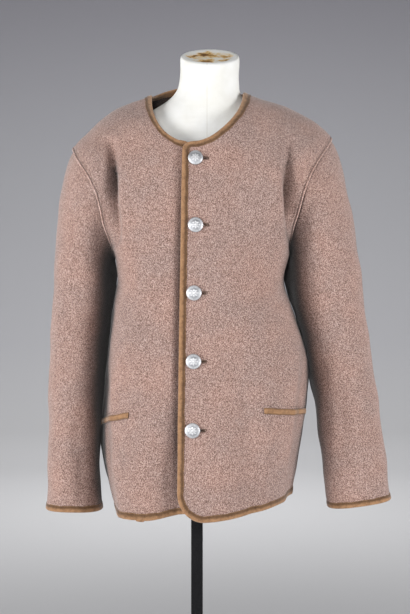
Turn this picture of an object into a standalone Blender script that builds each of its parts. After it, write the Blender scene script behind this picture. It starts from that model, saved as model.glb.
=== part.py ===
"""Collarless loden jacket with suede bindings, buttoned on a limbless dress form with a pole and a base.

Metres, +Z up. The origin is the middle of the base's underside, on the pole's axis. The front faces -Y and
the wearer's left is +X. Each cut piece is a region of one torso surface, or of a sleeve surface, with a wall.
"""

import math

import bmesh
import bpy
import numpy as np
from mathutils import Matrix, Vector

MM = 0.001

# Cloth, leather and the gap between neighbours
CLOTH = 2.8 * MM
SUEDE = 1.0 * MM
GAP = 0.3 * MM
BINDING_WIDTH = 10 * MM
BINDING_NOSE = 0.8 * MM

# Lap of the wearer's left front over the right front
LAP_LIFT = 5.9 * MM
LAP_FULL_X = 32 * MM
LAP_FLAT_X = 92 * MM
EDGE_X_TOP = -24 * MM
EDGE_X_BOTTOM = -31.5 * MM
EDGE_Z_TOP = 1340 * MM
EDGE_Z_BOTTOM = 800 * MM
UNDERLAP_X = 20 * MM
CORNER_RADIUS = 46 * MM
NECK_CORNER_RADIUS = 17 * MM
UNDERLAP_HEM_RISE = 12 * MM
UNDERLAP_RISE_FROM_X = -90 * MM
UNDERLAP_RISE_TO_X = -10 * MM
HEM_RISE_FADE = 200 * MM

# Torso surface, one row for each ring from hem (0) to neckline (1), in millimetres
TORSO_COLUMNS = (
    "ring x_left x_mid x_right y_front y_mid y_back z_front z_left z_right z_back "
    "square_left square_right square_back bend"
)
TORSO_ROWS = (
    (0.000, -150, 12, 179, -146, -2, 134, 722, 724, 750, 738, 4.2, 2.2, 2.5, 1.5),
    (0.120, -176, 13, 195, -146, -2, 134, 804, 828, 844, 828, 3.2, 2.7, 2.6, 1.8),
    (0.235, -173, 15, 209, -144, -2, 130, 882, 922, 932, 918, 3.0, 3.0, 2.7, 2.0),
    (0.350, -164, 15, 204, -140, -2, 124, 959, 1018, 1024, 1010, 3.0, 3.0, 2.7, 2.0),
    (0.450, -155, 14, 175, -136, 0, 120, 1027, 1104, 1108, 1094, 2.9, 2.9, 2.7, 2.0),
    (0.520, -148, 12, 164, -134, 2, 120, 1074, 1156, 1162, 1150, 2.8, 2.8, 2.7, 2.0),
    (0.570, -154, 11, 175, -132, 2, 122, 1108, 1196, 1208, 1190, 2.7, 2.7, 2.7, 2.0),
    (0.670, -201, 9, 218, -129, 6, 124, 1175, 1296, 1314, 1276, 2.6, 2.6, 2.6, 2.0),
    (0.780, -235, 8, 254, -124, 8, 120, 1249, 1398, 1418, 1368, 2.4, 2.4, 2.4, 2.1),
    (0.835, -206, 6, 232, -121, 8, 112, 1287, 1431, 1442, 1412, 2.3, 2.3, 2.3, 2.2),
    (0.890, -167, 4, 184, -117, 6, 100, 1324, 1465, 1471, 1454, 2.3, 2.3, 2.3, 2.4),
    (1.000, -88, -8, 90, -101, -4, 66, 1396, 1499, 1504, 1527, 2.8, 2.8, 2.4, 2.3),
)
FRONT_HEIGHT = 672 * MM
UNDERARM = 0.570
SHOULDER_TIP = 0.780
ARMHOLE_ANGLE = math.radians(25)
ARMHOLE_SKEW = 1.08
ARMHOLE_ROUND = 2.0
ARMHOLE_SQUEEZE = 2.4

# Largest folds: a soft trough along a line on the front (-1) or back (+1), in millimetres
FOLD_COLUMNS = "face x_top z_top x_bottom z_bottom bow width depth"
FOLD_ROWS = (
    (-1, -152, 1405, -150, 1180, 5, 13, 15),
    (-1, 168, 1415, 181, 1225, -4, 13, 12),
    (-1, -40, 850, -66, 640, 0, 34, 5),
    (1, -150, 1400, -148, 1200, 6, 16, 8),
    (1, 168, 1410, 170, 1210, -6, 16, 8),
    (1, 20, 980, 34, 640, 0, 40, 6),
)

# Panel grids, and how closely an angle or a ring is searched for
NEAR_EDGE = (0.0, BINDING_WIDTH, 24 * MM, CORNER_RADIUS)
FRONT_COLUMNS = 12
FRONT_COLUMN_CROWDING = 0.85
BACK_COLUMNS = 18
HEM_ROWS = (0.0, BINDING_WIDTH / FRONT_HEIGHT, 0.033, CORNER_RADIUS / FRONT_HEIGHT)
SIDE_ROWS = 8
ARMHOLE_ROWS = 10
SHOULDER_ROWS = 4
SHORTER_CUT = 0.85
ANGLE_ROUNDS = 12
HALVINGS = 30

# Sleeves, one row for each section below the sleeve head, in millimetres
SLEEVE_COLUMNS = "down x y z outward deep"
SLEEVE_ROWS = {
    "left": (
        (0.00, 243, 2, 1165, 66, 74),
        (0.22, 258, -2, 1068, 63, 66),
        (0.46, 276, -8, 962, 59.5, 60),
        (0.70, 288, -18, 855, 60, 55),
        (0.90, 298, -26, 776, 59, 49),
        (1.00, 303, -29, 737, 58, 46),
    ),
    "right": (
        (0.00, -219, 2, 1165, 51, 76),
        (0.22, -224, -2, 1072, 50, 69),
        (0.46, -229, -8, 968, 48.5, 64),
        (0.70, -231, -16, 862, 48, 59),
        (0.90, -230.5, -24, 770, 49, 52),
        (1.00, -229, -27, 726, 51.5, 48),
    ),
}
SIDE_SIGN = {"left": 1, "right": -1}
SLEEVE_SQUARE = 2.3

# How far the back of each sleeve's inner side swells towards the body, down the sleeve, in millimetres
SWELL_COLUMNS = "down reach"
SWELL_ROWS = {
    "left": (
        (0.00, 15), (0.10, 12), (0.18, 3), (0.26, 0), (0.38, 0), (0.43, 4), (0.47, 4), (0.54, 0), (1.00, 0),
    ),
    "right": (
        (0.00, 19), (0.10, 18), (0.22, 15.5), (0.46, 11), (0.58, 8.5), (0.66, 5.5), (0.76, 0), (1.00, 0),
    ),
}
SWELL_MIDDLE = math.radians(215)
SWELL_SPREAD = math.radians(34)
HEAD_PART = 0.30
HEAD_ROWS = 6
TUBE_ROWS = 9
HEAD_START_PULL = {"left": 0.40, "right": 0.75}
HEAD_END_PULL = 0.85
HEAD_TURN_TOP = {"left": math.radians(42), "right": math.radians(18)}
HEAD_TURN_UNDERARM = math.radians(98)

# Buttons: the profile is shares of the radius and heights above the button's back
BUTTON_X = (-6.6 * MM, -5.2 * MM, -4.3 * MM, -1.7 * MM, -1.8 * MM)
BUTTON_Z_FIRST = 882 * MM
BUTTON_STEP = 121.4 * MM
BUTTON_RADIUS = 13.3 * MM
BUTTON_CLEARANCE = 0.8 * MM
BUTTON_SIDES = 14
BUTTON_PROFILE = (
    (0.00, 5.6 * MM),
    (0.45, 5.1 * MM),
    (0.80, 3.6 * MM),
    (0.93, 3.0 * MM),
    (1.00, 1.9 * MM),
    (0.94, 0.8 * MM),
    (0.55, 0.2 * MM),
)
SHANK_RADIUS = 2.0 * MM
EYE_RADIUS = 3.0 * MM
SLIT_LENGTH = 22 * MM
SLIT_WIDTH = 1.6 * MM
EYE_SIDES = 12
CUTTER_DEPTH = 16 * MM
LEVEL_STEPS = 2001

# Pocket welts, in millimetres: where the inner end starts and how the strip runs round the side
WELT_HEIGHT = 11 * MM
WELT_THICKNESS = 2.0 * MM
WELT_LENGTH = 138 * MM
WELT_GAP = 0.6 * MM
WELT_CROWN = 1.15
WELT_REACH = math.radians(80)
WELT_END_MARGIN = math.radians(1.5)
WELTS = {
    "left": {"x": 120 * MM, "z": 915 * MM, "drop": 9 * MM},
    "right": {"x": -122 * MM, "z": 906 * MM, "drop": 24 * MM},
}

# Dress form: one row for each ring from its underside to the neck's top, in millimetres
FORM_COLUMNS = "ring x z wide y_front y_back square tilt"
FORM_ROWS = (
    (0, 8, 800, 118, -84, 84, 2.4, 0),
    (1, 8, 812, 132, -96, 98, 2.4, 0),
    (2, 9, 900, 145, -108, 108, 2.4, 0),
    (3, 10, 1010, 134, -100, 94, 2.3, 0),
    (4, 12, 1110, 132, -98, 92, 2.3, 0),
    (5, 14, 1210, 142, -108, 100, 2.3, 0),
    (6, 16, 1300, 176, -106, 104, 2.3, 0),
    (7, 17, 1362, 196, -92, 94, 2.2, 0),
    (8, 18, 1405, 196, -76, 80, 2.1, 0),
    (9, 18, 1440, 168, -66, 70, 2.0, 0),
    (10, 18, 1468, 112, -58, 62, 2.0, 4),
    (11, 19, 1488, 78, -55, 60, 2.0, 8),
    (12, 20.5, 1505, 62, -54, 59, 2.0, 11),
    (13, 23, 1526, 57, -54, 58, 2.0, 16),
    (14, 24.5, 1570, 56, -54, 58, 2.0, 25),
    (15, 24.5, 1576, 51, -49, 53, 2.0, 25),
)
FORM_COLUMNS_ROUND = 22
FORM_RING_STEP = 0.5

# Stand
POLE_SIDE = 22 * MM
POLE_EDGE = 1.5 * MM
FORM_UNDERSIDE = 800 * MM
BASE_RADIUS = 175 * MM
BASE_THICKNESS = 9 * MM
BASE_EDGE = 2 * MM
COLLAR_RADIUS = 24 * MM
COLLAR_HEIGHT = 36 * MM
COLLAR_EDGE = 1.5 * MM
COLLAR_SIDES = 24
BASE_SIDES = 40


# ---- tables -------------------------------------------------------------------------------------------

def table(columns, rows):
    """The table's named columns as arrays."""
    return dict(zip(columns.split(), np.array(rows, float).T))


def read(columns, name, at):
    """A column as a smooth cubic through its rows, along the table's first column."""
    knots = next(iter(columns.values()))
    values = columns[name]
    slope = np.gradient(values, knots)
    at = np.clip(at, knots[0], knots[-1])
    i = np.clip(np.searchsorted(knots, at, side="right") - 1, 0, len(knots) - 2)
    step = knots[i + 1] - knots[i]
    t = (at - knots[i]) / step
    return (
        values[i] * (1 + 2 * t) * (1 - t) ** 2
        + values[i + 1] * (3 - 2 * t) * t**2
        + step * t * (1 - t) * (slope[i] * (1 - t) - slope[i + 1] * t)
    )


TORSO = table(TORSO_COLUMNS, TORSO_ROWS)
FOLDS = table(FOLD_COLUMNS, FOLD_ROWS)
SLEEVES = {side: table(SLEEVE_COLUMNS, rows) for side, rows in SLEEVE_ROWS.items()}
SWELLS = {side: table(SWELL_COLUMNS, rows) for side, rows in SWELL_ROWS.items()}
FORM = table(FORM_COLUMNS, FORM_ROWS)


def smoothstep(x):
    x = np.clip(x, 0, 1)
    return x * x * (3 - 2 * x)


def unit(vectors):
    return vectors / np.linalg.norm(vectors, axis=-1, keepdims=True)


# ---- torso surface ------------------------------------------------------------------------------------

def oval(angle, right, left, front, back, square):
    """Distance from the middle to a rounded rectangle's outline, each quarter with its own reach."""
    c, s = np.cos(angle), np.sin(angle)
    half_x = np.where(c < 0, left, right)
    half_y = np.where(s < 0, front, back)
    return ((np.abs(c) / half_x) ** square + (np.abs(s) / half_y) ** square) ** (-1 / square)


def torso_base(angle, ring):
    """The smooth torso surface: angle 0 is the wearer's left side seam and -90 degrees is the front."""
    row = {name: read(TORSO, name, ring) * MM for name in TORSO if name[:2] in ("x_", "y_", "z_")}
    c, s = np.cos(angle), np.sin(angle)
    square = np.where(c < 0, read(TORSO, "square_left", ring), read(TORSO, "square_right", ring))
    square = np.where(s > 0, read(TORSO, "square_back", ring), square)
    radius = oval(
        angle,
        row["x_right"] - row["x_mid"],
        row["x_mid"] - row["x_left"],
        row["y_mid"] - row["y_front"],
        row["y_back"] - row["y_mid"],
        square,
    )
    z_side = np.where(c < 0, row["z_left"], row["z_right"])
    z_face = np.where(s < 0, row["z_front"], row["z_back"])
    z = z_face + (z_side - z_face) * np.abs(c) ** read(TORSO, "bend", ring)
    return np.stack([row["x_mid"] + radius * c, row["y_mid"] + radius * s, z], axis=-1)


def normals_of(surface, u, v, step=2e-4):
    """Outward unit normals of a surface of two parameters, by central differences."""
    along_u = surface(u + step, v) - surface(u - step, v)
    along_v = surface(u, v + step) - surface(u, v - step)
    return unit(np.cross(along_u, along_v))


def fold_depth(points):
    """How far the folds pull the cloth in at these points."""
    x, y, z = points[..., 0] / MM, points[..., 1], points[..., 2] / MM
    total = np.zeros(x.shape)
    for i in range(len(FOLDS["face"])):
        fold = {name: FOLDS[name][i] for name in FOLDS}
        t = (fold["z_top"] - z) / (fold["z_top"] - fold["z_bottom"])
        line = fold["x_top"] + (fold["x_bottom"] - fold["x_top"]) * t + fold["bow"] * 4 * t * (1 - t)
        ends = np.sin(math.pi * np.clip(t, 0, 1))
        across = np.exp(-(((x - line) / fold["width"]) ** 2))
        total += np.where(y * fold["face"] > 0, fold["depth"] * MM * ends * across, 0)
    return total


def torso(angle, ring, lap=False):
    """The torso surface with its folds, and with the lift of the front that laps over the other."""
    ring = np.clip(ring, 0, 1)
    points = torso_base(angle, ring)
    out = -fold_depth(points)
    if lap:
        flat = smoothstep((points[..., 0] - LAP_FULL_X) / (LAP_FLAT_X - LAP_FULL_X))
        out = out + LAP_LIFT * np.where(np.sin(angle) < 0, 1 - flat, 0)
    return points + normals_of(torso_base, angle, ring) * out[..., None]


def lapped(angle, ring):
    return torso(angle, ring, lap=True)


def angle_at_x(x, ring):
    """The angle on the front where the ring passes this x."""
    x_mid = read(TORSO, "x_mid", ring) * MM
    angle = np.full(np.broadcast(x, ring).shape, -math.pi / 2)
    y_mid = read(TORSO, "y_mid", ring) * MM
    for _ in range(ANGLE_ROUNDS):
        found = torso_base(angle, ring)
        reach = np.hypot(found[..., 0] - x_mid, found[..., 1] - y_mid)
        angle = -np.arccos(np.clip((x - x_mid) / reach, -1, 1))
    return angle


def front_edge_x(ring):
    """The lapping front's edge leans a little towards its lower end."""
    z = read(TORSO, "z_front", ring) * MM
    t = (EDGE_Z_TOP - z) / (EDGE_Z_TOP - EDGE_Z_BOTTOM)
    return EDGE_X_TOP + (EDGE_X_BOTTOM - EDGE_X_TOP) * t


def armhole_angle(ring):
    """Half the angle that the armhole opens at a ring: zero at the underarm and at the shoulder tip."""
    w = np.clip((ring - UNDERARM) / (SHOULDER_TIP - UNDERARM), 0, 1) ** ARMHOLE_SKEW
    return ARMHOLE_ANGLE * np.clip(1 - np.abs(2 * w - 1) ** ARMHOLE_ROUND, 0, 1) ** (1 / ARMHOLE_ROUND)


def seam_angle(ring, side):
    """Half a seam gap at the side seam or the shoulder seam, as an angle."""
    name = "x_right" if side == "left" else "x_left"
    return 0.5 * GAP / (np.abs(read(TORSO, name, ring) - read(TORSO, "x_mid", ring)) * MM)


def panel_rings():
    """Rows of every torso panel: hem binding, side, armhole, shoulder, neckline binding."""
    side = np.linspace(HEM_ROWS[-1], UNDERARM, SIDE_ROWS + 1)[1:]
    turn = (1 - np.cos(math.pi * np.arange(1, ARMHOLE_ROWS + 1) / ARMHOLE_ROWS)) / 2
    armhole = UNDERARM + (SHOULDER_TIP - UNDERARM) * turn
    neck_line = 1 - BINDING_WIDTH / FRONT_HEIGHT
    shoulder = np.linspace(SHOULDER_TIP, neck_line, SHOULDER_ROWS + 1)[1:]
    return np.concatenate([HEM_ROWS, side, armhole, shoulder, [1.0]])


# ---- meshes -------------------------------------------------------------------------------------------

class Shape:
    """Collects faces over shared points, so that cells that share a corner become one closed mesh."""

    def __init__(self):
        self.points = []
        self.cells = []
        self.index = {}
        self.faces = []

    def point(self, layer, cell, place):
        key = (layer, cell)
        if key not in self.index:
            self.index[key] = len(self.points)
            self.points.append(tuple(place))
            self.cells.append(cell)
        return self.index[key]

    def distance(self, a, b):
        return math.dist(self.points[a], self.points[b])

    def face(self, *corners):
        """Splits a four-cornered face at its first cell, or across where that is clearly the shorter cut."""
        kept = [c for i, c in enumerate(corners) if c != corners[i - 1]]
        if len(kept) == 4:
            first = min(range(4), key=lambda k: (self.cells[kept[k]], k))
            a, b, c, d = kept[first:] + kept[:first]
            if self.distance(b, d) < SHORTER_CUT * self.distance(a, c):
                a, b, c, d = b, c, d, a
            self.faces += [(a, b, c), (a, c, d)]
        elif len(kept) > 2:
            self.faces.append(kept)

    def build(self, name, material):
        mesh = bpy.data.meshes.new(name)
        mesh.from_pydata(self.points, [], self.faces)
        made = bmesh.new()
        made.from_mesh(mesh)
        bmesh.ops.recalc_face_normals(made, faces=made.faces)
        made.to_mesh(mesh)
        made.free()
        return add_object(name, mesh, material)


def add_object(name, mesh, material, collection="loden_jacket"):
    made = bpy.data.objects.new(name, mesh)
    mesh.materials.clear()
    if material:
        mesh.materials.append(material)
    mesh.shade_smooth()
    mesh.set_sharp_from_angle(angle=math.radians(40))
    bpy.data.collections[collection].objects.link(made)
    return made


def wall(name, outer, inner, material, closed=False):
    """A cloth wall between two grids of points: open as a panel, or closed round as a tube."""
    shape = Shape()
    rows, columns = outer.shape[:2]
    grids = [
        [[shape.point(side, (i, j), grid[i, j]) for j in range(columns)] for i in range(rows)]
        for side, grid in (("outer", outer), ("inner", inner))
    ]
    top, under = grids
    steps = range(columns) if closed else range(columns - 1)
    for i in range(rows - 1):
        for j in steps:
            k = (j + 1) % columns
            shape.face(top[i][j], top[i][k], top[i + 1][k], top[i + 1][j])
            shape.face(under[i][j], under[i + 1][j], under[i + 1][k], under[i][k])
    for j in steps:
        k = (j + 1) % columns
        shape.face(top[0][j], under[0][j], under[0][k], top[0][k])
        shape.face(top[-1][j], top[-1][k], under[-1][k], under[-1][j])
    if not closed:
        for i in range(rows - 1):
            shape.face(top[i][0], top[i + 1][0], under[i + 1][0], under[i][0])
            shape.face(top[i][-1], under[i][-1], under[i + 1][-1], top[i + 1][-1])
    return shape.build(name, material)


# ---- jacket panels ------------------------------------------------------------------------------------

def round_corner(a, h, radius):
    """Moves points of a square corner's grid onto quarter circles about the corner's centre."""
    p = np.clip((radius - a) / radius, 0, 1)
    q = np.clip((radius - h) / radius, 0, 1)
    inside = (p > 0) & (q > 0)
    scale = np.where(inside, np.maximum(p, q) / np.maximum(np.hypot(p, q), 1e-9), 1)
    return np.where(inside, radius * (1 - p * scale), a), np.where(inside, radius * (1 - q * scale), h)


def front_columns(side, rings, near, near_ring):
    """Angles along each ring from the centre edge: named distances first, then even shares to the side."""
    sign = SIDE_SIGN[side]
    edge = front_edge_x(near_ring) if side == "left" else np.full(near_ring.shape, UNDERLAP_X)
    near_angle = angle_at_x(edge + sign * near, near_ring)
    side_angle = 0.0 if side == "left" else -math.pi
    seam = side_angle - sign * seam_angle(rings, side)[:, None]
    share = np.linspace(0, 1, FRONT_COLUMNS + 1)[1:] ** FRONT_COLUMN_CROWDING
    start = near_angle[:, -1:]
    opening = armhole_angle(rings)[:, None] * share**ARMHOLE_SQUEEZE
    far_angle = start + (seam - start) * share - sign * opening
    return np.concatenate([near_angle, far_angle], axis=1)


def front_grid(side):
    """Angles and rings of a front's grid points, from its centre edge to the side seam and armhole."""
    rings = panel_rings()
    a = np.broadcast_to(NEAR_EDGE, (len(rings), len(NEAR_EDGE)))
    level = np.repeat(rings[:, None], len(NEAR_EDGE), axis=1) * FRONT_HEIGHT
    a, low = round_corner(a, level, CORNER_RADIUS if side == "left" else UNDERLAP_X)
    a, high = round_corner(a, FRONT_HEIGHT - low, NECK_CORNER_RADIUS)
    near_ring = 1 - high / FRONT_HEIGHT
    angle = front_columns(side, rings, a, near_ring)
    ring = np.concatenate([near_ring, np.repeat(rings[:, None], FRONT_COLUMNS, axis=1)], axis=1)
    if side == "right":
        x = torso_base(angle, ring)[..., 0]
        rise = smoothstep((x - UNDERLAP_RISE_FROM_X) / (UNDERLAP_RISE_TO_X - UNDERLAP_RISE_FROM_X))
        fade = np.clip(1 - ring * FRONT_HEIGHT / HEM_RISE_FADE, 0, 1)
        ring = ring + rise * fade * UNDERLAP_HEM_RISE / FRONT_HEIGHT
    return angle, ring


def back_grid():
    rings = panel_rings()
    start = seam_angle(rings, "left")[:, None]
    end = math.pi - seam_angle(rings, "right")[:, None]
    share = np.linspace(0, 1, BACK_COLUMNS + 1)
    opening = (1 - share) ** ARMHOLE_SQUEEZE - share**ARMHOLE_SQUEEZE
    angle = start + (end - start) * share + armhole_angle(rings)[:, None] * opening
    return angle, np.repeat(rings[:, None], BACK_COLUMNS + 1, axis=1)


def panel_points(angle, ring, surface):
    points = surface(angle, ring)
    return points, normals_of(surface, angle, ring)


def panel(name, points, normals, material):
    return wall(name, points, points - normals * CLOTH, material)


def binding(name, edge, inboard, material, closed=False):
    """A suede strip folded over an edge. edge and inboard are lists of (key, point, normal) stations."""
    shape = Shape()
    near, far = GAP, GAP + SUEDE
    sections = []
    for k, ((e_key, e, n), (i_key, i, m)) in enumerate(zip(edge, inboard)):
        before = edge[(k - 1) % len(edge) if closed else max(k - 1, 0)][1]
        after = edge[(k + 1) % len(edge) if closed else min(k + 1, len(edge) - 1)][1]
        out = unit(np.cross(after - before, n))
        if np.dot(out, e - i) < 0:
            out = -out
        middle = e - n * CLOTH / 2
        brow = e + out * GAP / 2
        chin = brow - n * CLOTH
        under = i - m * CLOTH
        places = (
            ("outer", i_key, i + m * far, i + m * near),
            ("outer", e_key, brow + n * far, brow + n * near),
            ("nose", e_key, middle + out * (far + BINDING_NOSE), middle + out * near),
            ("inner", e_key, chin - n * far, chin - n * near),
            ("inner", i_key, under - m * far, under - m * near),
        )
        sections.append([
            (shape.point(f"{face}_skin", key, skin), shape.point(f"{face}_lining", key, lining))
            for face, key, skin, lining in places
        ])
    ends = sections[:1] if closed else []
    for this, following in zip(sections, sections[1:] + ends):
        for (a, a_in), (b, b_in), (c, c_in), (d, d_in) in zip(this, this[1:], following, following[1:]):
            shape.face(a, b, d, c)
            shape.face(a_in, c_in, d_in, b_in)
        shape.face(this[0][0], following[0][0], following[0][1], this[0][1])
        shape.face(this[-1][0], this[-1][1], following[-1][1], following[-1][0])
    if not closed:
        for section in (sections[0], sections[-1]):
            for (a, a_in), (b, b_in) in zip(section, section[1:]):
                shape.face(a, a_in, b_in, b)
    return shape.build(name, material)


def stations(points, normals, path):
    return [((i, j), points[i, j], normals[i, j]) for i, j in path]


def front_binding(name, points, normals, material):
    """Along the neckline to the front edge, down it and along the hem to the side seam."""
    last_row, last_column = points.shape[0] - 1, points.shape[1] - 1
    path = [(last_row, j) for j in range(last_column, 0, -1)]
    path += [(i, 0) for i in range(last_row, 0, -1)]
    path += [(0, j) for j in range(last_column + 1)]
    inner = [(min(max(i, 1), last_row - 1), max(j, 1)) for i, j in path]
    return binding(name, stations(points, normals, path), stations(points, normals, inner), material)


def row_binding(name, points, normals, row, inner_row, material):
    columns = range(points.shape[1])
    edge = stations(points, normals, [(row, j) for j in columns])
    inboard = stations(points, normals, [(inner_row, j) for j in columns])
    return binding(name, edge, inboard, material)


# ---- sleeves ------------------------------------------------------------------------------------------

def armhole_frame(side, around):
    """Seam points of the armhole, with the surface normal and the way across the seam."""
    ring = UNDERARM + (SHOULDER_TIP - UNDERARM) * (1 + np.cos(around)) / 2
    front = np.where(np.sin(around) >= 0, -1, 1)
    open_angle = front * armhole_angle(ring)
    angle = open_angle if side == "left" else math.pi - open_angle
    seam = torso(angle, ring)
    return seam, normals_of(torso, angle, ring)


def sleeve_head(side, around):
    """Start points, start directions and start normals of the sleeve's lines at the armhole seam."""
    step = 1e-3
    seam, normal = armhole_frame(side, around)
    along = armhole_frame(side, around + step)[0] - armhole_frame(side, around - step)[0]
    across = unit(np.cross(along, normal))
    middle = armhole_frame(side, np.array([math.pi / 2, -math.pi / 2]))[0].mean(axis=0)
    across = np.where((across * (middle - seam)).sum(-1, keepdims=True) < 0, -across, across)
    turn = HEAD_TURN_TOP[side] + (HEAD_TURN_UNDERARM - HEAD_TURN_TOP[side]) * (1 - np.cos(around)) / 2
    turn = turn[..., None]
    start = seam + across * GAP
    heading = across * np.cos(turn) + normal * np.sin(turn)
    facing = normal * np.cos(turn) - across * np.sin(turn)
    return start, heading, facing


def sleeve_tube(side, around, down):
    columns = SLEEVES[side]
    centre = np.stack([read(columns, name, down) * MM for name in "xyz"], axis=-1)
    outward, deep = read(columns, "outward", down) * MM, read(columns, "deep", down) * MM
    reach = oval(around, outward, outward, deep, deep, SLEEVE_SQUARE)
    axis = np.gradient(np.stack([columns[name] for name in "xyz"], axis=-1), axis=0).mean(axis=0)
    lean = math.atan2(axis[0], -axis[2])
    swell = read(SWELLS[side], "reach", down) * MM * np.exp(-(((around - SWELL_MIDDLE) / SWELL_SPREAD) ** 2))
    x = SIDE_SIGN[side] * (reach * np.cos(around) - swell)
    offset = np.stack([x * math.cos(lean), -reach * np.sin(around), x * math.sin(lean)], axis=-1)
    return centre + offset


def sleeve(side, around, along):
    """Sleeve surface: along runs from the armhole seam (0) to the cuff (1), around starts at the shoulder."""
    down = np.clip((along - HEAD_PART) / (1 - HEAD_PART), 0, 1)
    tube = sleeve_tube(side, around, down)
    start, heading, _ = sleeve_head(side, around)
    end = sleeve_tube(side, around, np.zeros_like(down))
    leaving = unit(sleeve_tube(side, around, np.full_like(down, 0.02)) - end)
    span = np.linalg.norm(end - start, axis=-1, keepdims=True)
    t = np.clip(along / HEAD_PART, 0, 1)[..., None]
    head = (
        start * (1 + 2 * t) * (1 - t) ** 2
        + end * (3 - 2 * t) * t**2
        + heading * span * HEAD_START_PULL[side] * t * (1 - t) ** 2
        - leaving * span * HEAD_END_PULL * t**2 * (1 - t)
    )
    return np.where(along[..., None] < HEAD_PART, head, tube)


def sleeve_grid(side):
    count = 2 * ARMHOLE_ROWS
    around = math.pi * np.arange(count) / ARMHOLE_ROWS
    head = np.linspace(0, HEAD_PART, HEAD_ROWS + 1)
    length = (SLEEVES[side]["z"][0] - SLEEVES[side]["z"][-1]) * MM
    hem_line = 1 - (1 - HEAD_PART) * BINDING_WIDTH / length
    tube = np.linspace(HEAD_PART, hem_line, TUBE_ROWS + 1)[1:]
    along = np.concatenate([head, tube, [1.0]])
    return np.meshgrid(around, along)


def sleeve_points(side):
    around, along = sleeve_grid(side)
    points = sleeve(side, around, along)
    step = 2e-3
    after, before = np.clip(along + step, 0, 1), np.clip(along - step, 0, 1)
    down = sleeve(side, around, after) - sleeve(side, around, before)
    turn = sleeve(side, around + step, along) - sleeve(side, around - step, along)
    normals = unit(np.cross(turn, down)) * SIDE_SIGN[side]
    normals[0] = sleeve_head(side, around[0])[2]
    return points, normals


def cuff_binding(name, points, normals, material):
    columns = range(points.shape[1])
    edge = stations(points, normals, [(len(points) - 1, j) for j in columns])
    inboard = stations(points, normals, [(len(points) - 2, j) for j in columns])
    return binding(name, edge, inboard, material, closed=True)


# ---- welts and buttons --------------------------------------------------------------------------------

def ring_at_z(angle, z):
    """The ring that passes this height at this angle."""
    low, high = np.zeros_like(angle), np.full_like(angle, UNDERARM)
    for _ in range(HALVINGS):
        middle = (low + high) / 2
        below = torso_base(angle, middle)[..., 2] < z
        low, high = np.where(below, middle, low), np.where(below, high, middle)
    return (low + high) / 2


def welt_angles(side, place):
    """The welt's two ends and the panel's own columns between them, so that its cells follow the panel's."""
    sign = SIDE_SIGN[side]
    level = np.array([place["z"]])
    first = float(angle_at_x(np.array([place["x"]]), ring_at_z(np.array([-math.pi / 4]), level))[0])
    reach = first + sign * np.linspace(0, WELT_REACH, LEVEL_STEPS)
    middle = torso_base(reach, ring_at_z(reach, np.full_like(reach, place["z"])))
    length = np.concatenate([[0], np.cumsum(np.linalg.norm(np.diff(middle, axis=0), axis=1))])
    last = float(np.interp(WELT_LENGTH, length, reach))
    ring = ring_at_z(np.array([first]), level)
    near = np.array([NEAR_EDGE])
    columns = front_columns(side, ring, near, np.repeat(ring[:, None], near.shape[1], axis=1))[0]
    low, high = sorted((first, last))
    inside = [angle for angle in columns if low + WELT_END_MARGIN < angle < high - WELT_END_MARGIN]
    angle = np.array(sorted([first, last, *inside], reverse=sign < 0))
    return angle, np.interp(sign * angle, sign * reach, length) / WELT_LENGTH


def welt(side, material):
    """A narrow suede-covered strip that starts on the front and runs round the side."""
    place = WELTS[side]
    angle, share = welt_angles(side, place)
    surface = lapped if side == "left" else torso
    points, normals = [], []
    for offset in (WELT_HEIGHT / 2, 0, -WELT_HEIGHT / 2):
        ring = ring_at_z(angle, place["z"] - place["drop"] * share + offset)
        points.append(surface(angle, ring))
        normals.append(normals_of(surface, angle, ring))
    points, normals = np.array(points), np.array(normals)
    crown = np.array([1.0, WELT_CROWN, 1.0])[:, None, None]
    outer = points + normals * (WELT_GAP + WELT_THICKNESS * crown)
    return wall(f"pocket_welt_{side}", outer, points + normals * WELT_GAP, material)


def turned(name, profile, steps, material, collection="loden_jacket"):
    """A solid turned about Z from (radius, height) points, listed from the top of the axis to its foot."""
    mesh = bpy.data.meshes.new(name)
    mesh.from_pydata([(r, 0, z) for r, z in profile], [(i, i + 1) for i in range(len(profile) - 1)], [])
    made = add_object(name, mesh, material, collection)
    screw = made.modifiers.new("turn", "SCREW")
    screw.steps = steps
    screw.render_steps = steps
    screw.use_merge_vertices = True
    screw.merge_threshold = 0.00001
    screw.use_normal_calculate = True
    return made


def button_frame(x, z):
    """The place and the outward direction of the lapping front's face under a button."""
    rings = np.linspace(0, 1, LEVEL_STEPS)
    heights = lapped(angle_at_x(np.full_like(rings, x), rings), rings)[:, 2]
    ring = np.interp(z, heights, rings)
    angle = angle_at_x(np.array([x]), np.array([ring]))
    return lapped(angle, np.array([ring]))[0], normals_of(lapped, angle, np.array([ring]))[0]


def button(number, place, facing, material):
    """A domed disc with a rim, and a shank that passes the buttonhole and ends on the other front."""
    foot = GAP - LAP_LIFT
    profile = [(share * BUTTON_RADIUS, BUTTON_CLEARANCE + height) for share, height in BUTTON_PROFILE]
    profile += [(SHANK_RADIUS, BUTTON_CLEARANCE), (SHANK_RADIUS, foot), (0, foot)]
    made = turned(f"button_{number}", profile, BUTTON_SIDES, material)
    made.location = place
    made.rotation_mode = "QUATERNION"
    made.rotation_quaternion = tilt_from_z(facing)
    return made


def tilt_from_z(direction):
    """The turn that takes +Z to a direction near -Y and keeps +X level."""
    up = Vector(direction)
    x = Vector((1, 0, 0))
    x = (x - up * x.dot(up)).normalized()
    y = up.cross(x)
    return Matrix((x, y, up)).transposed().to_quaternion()


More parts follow.
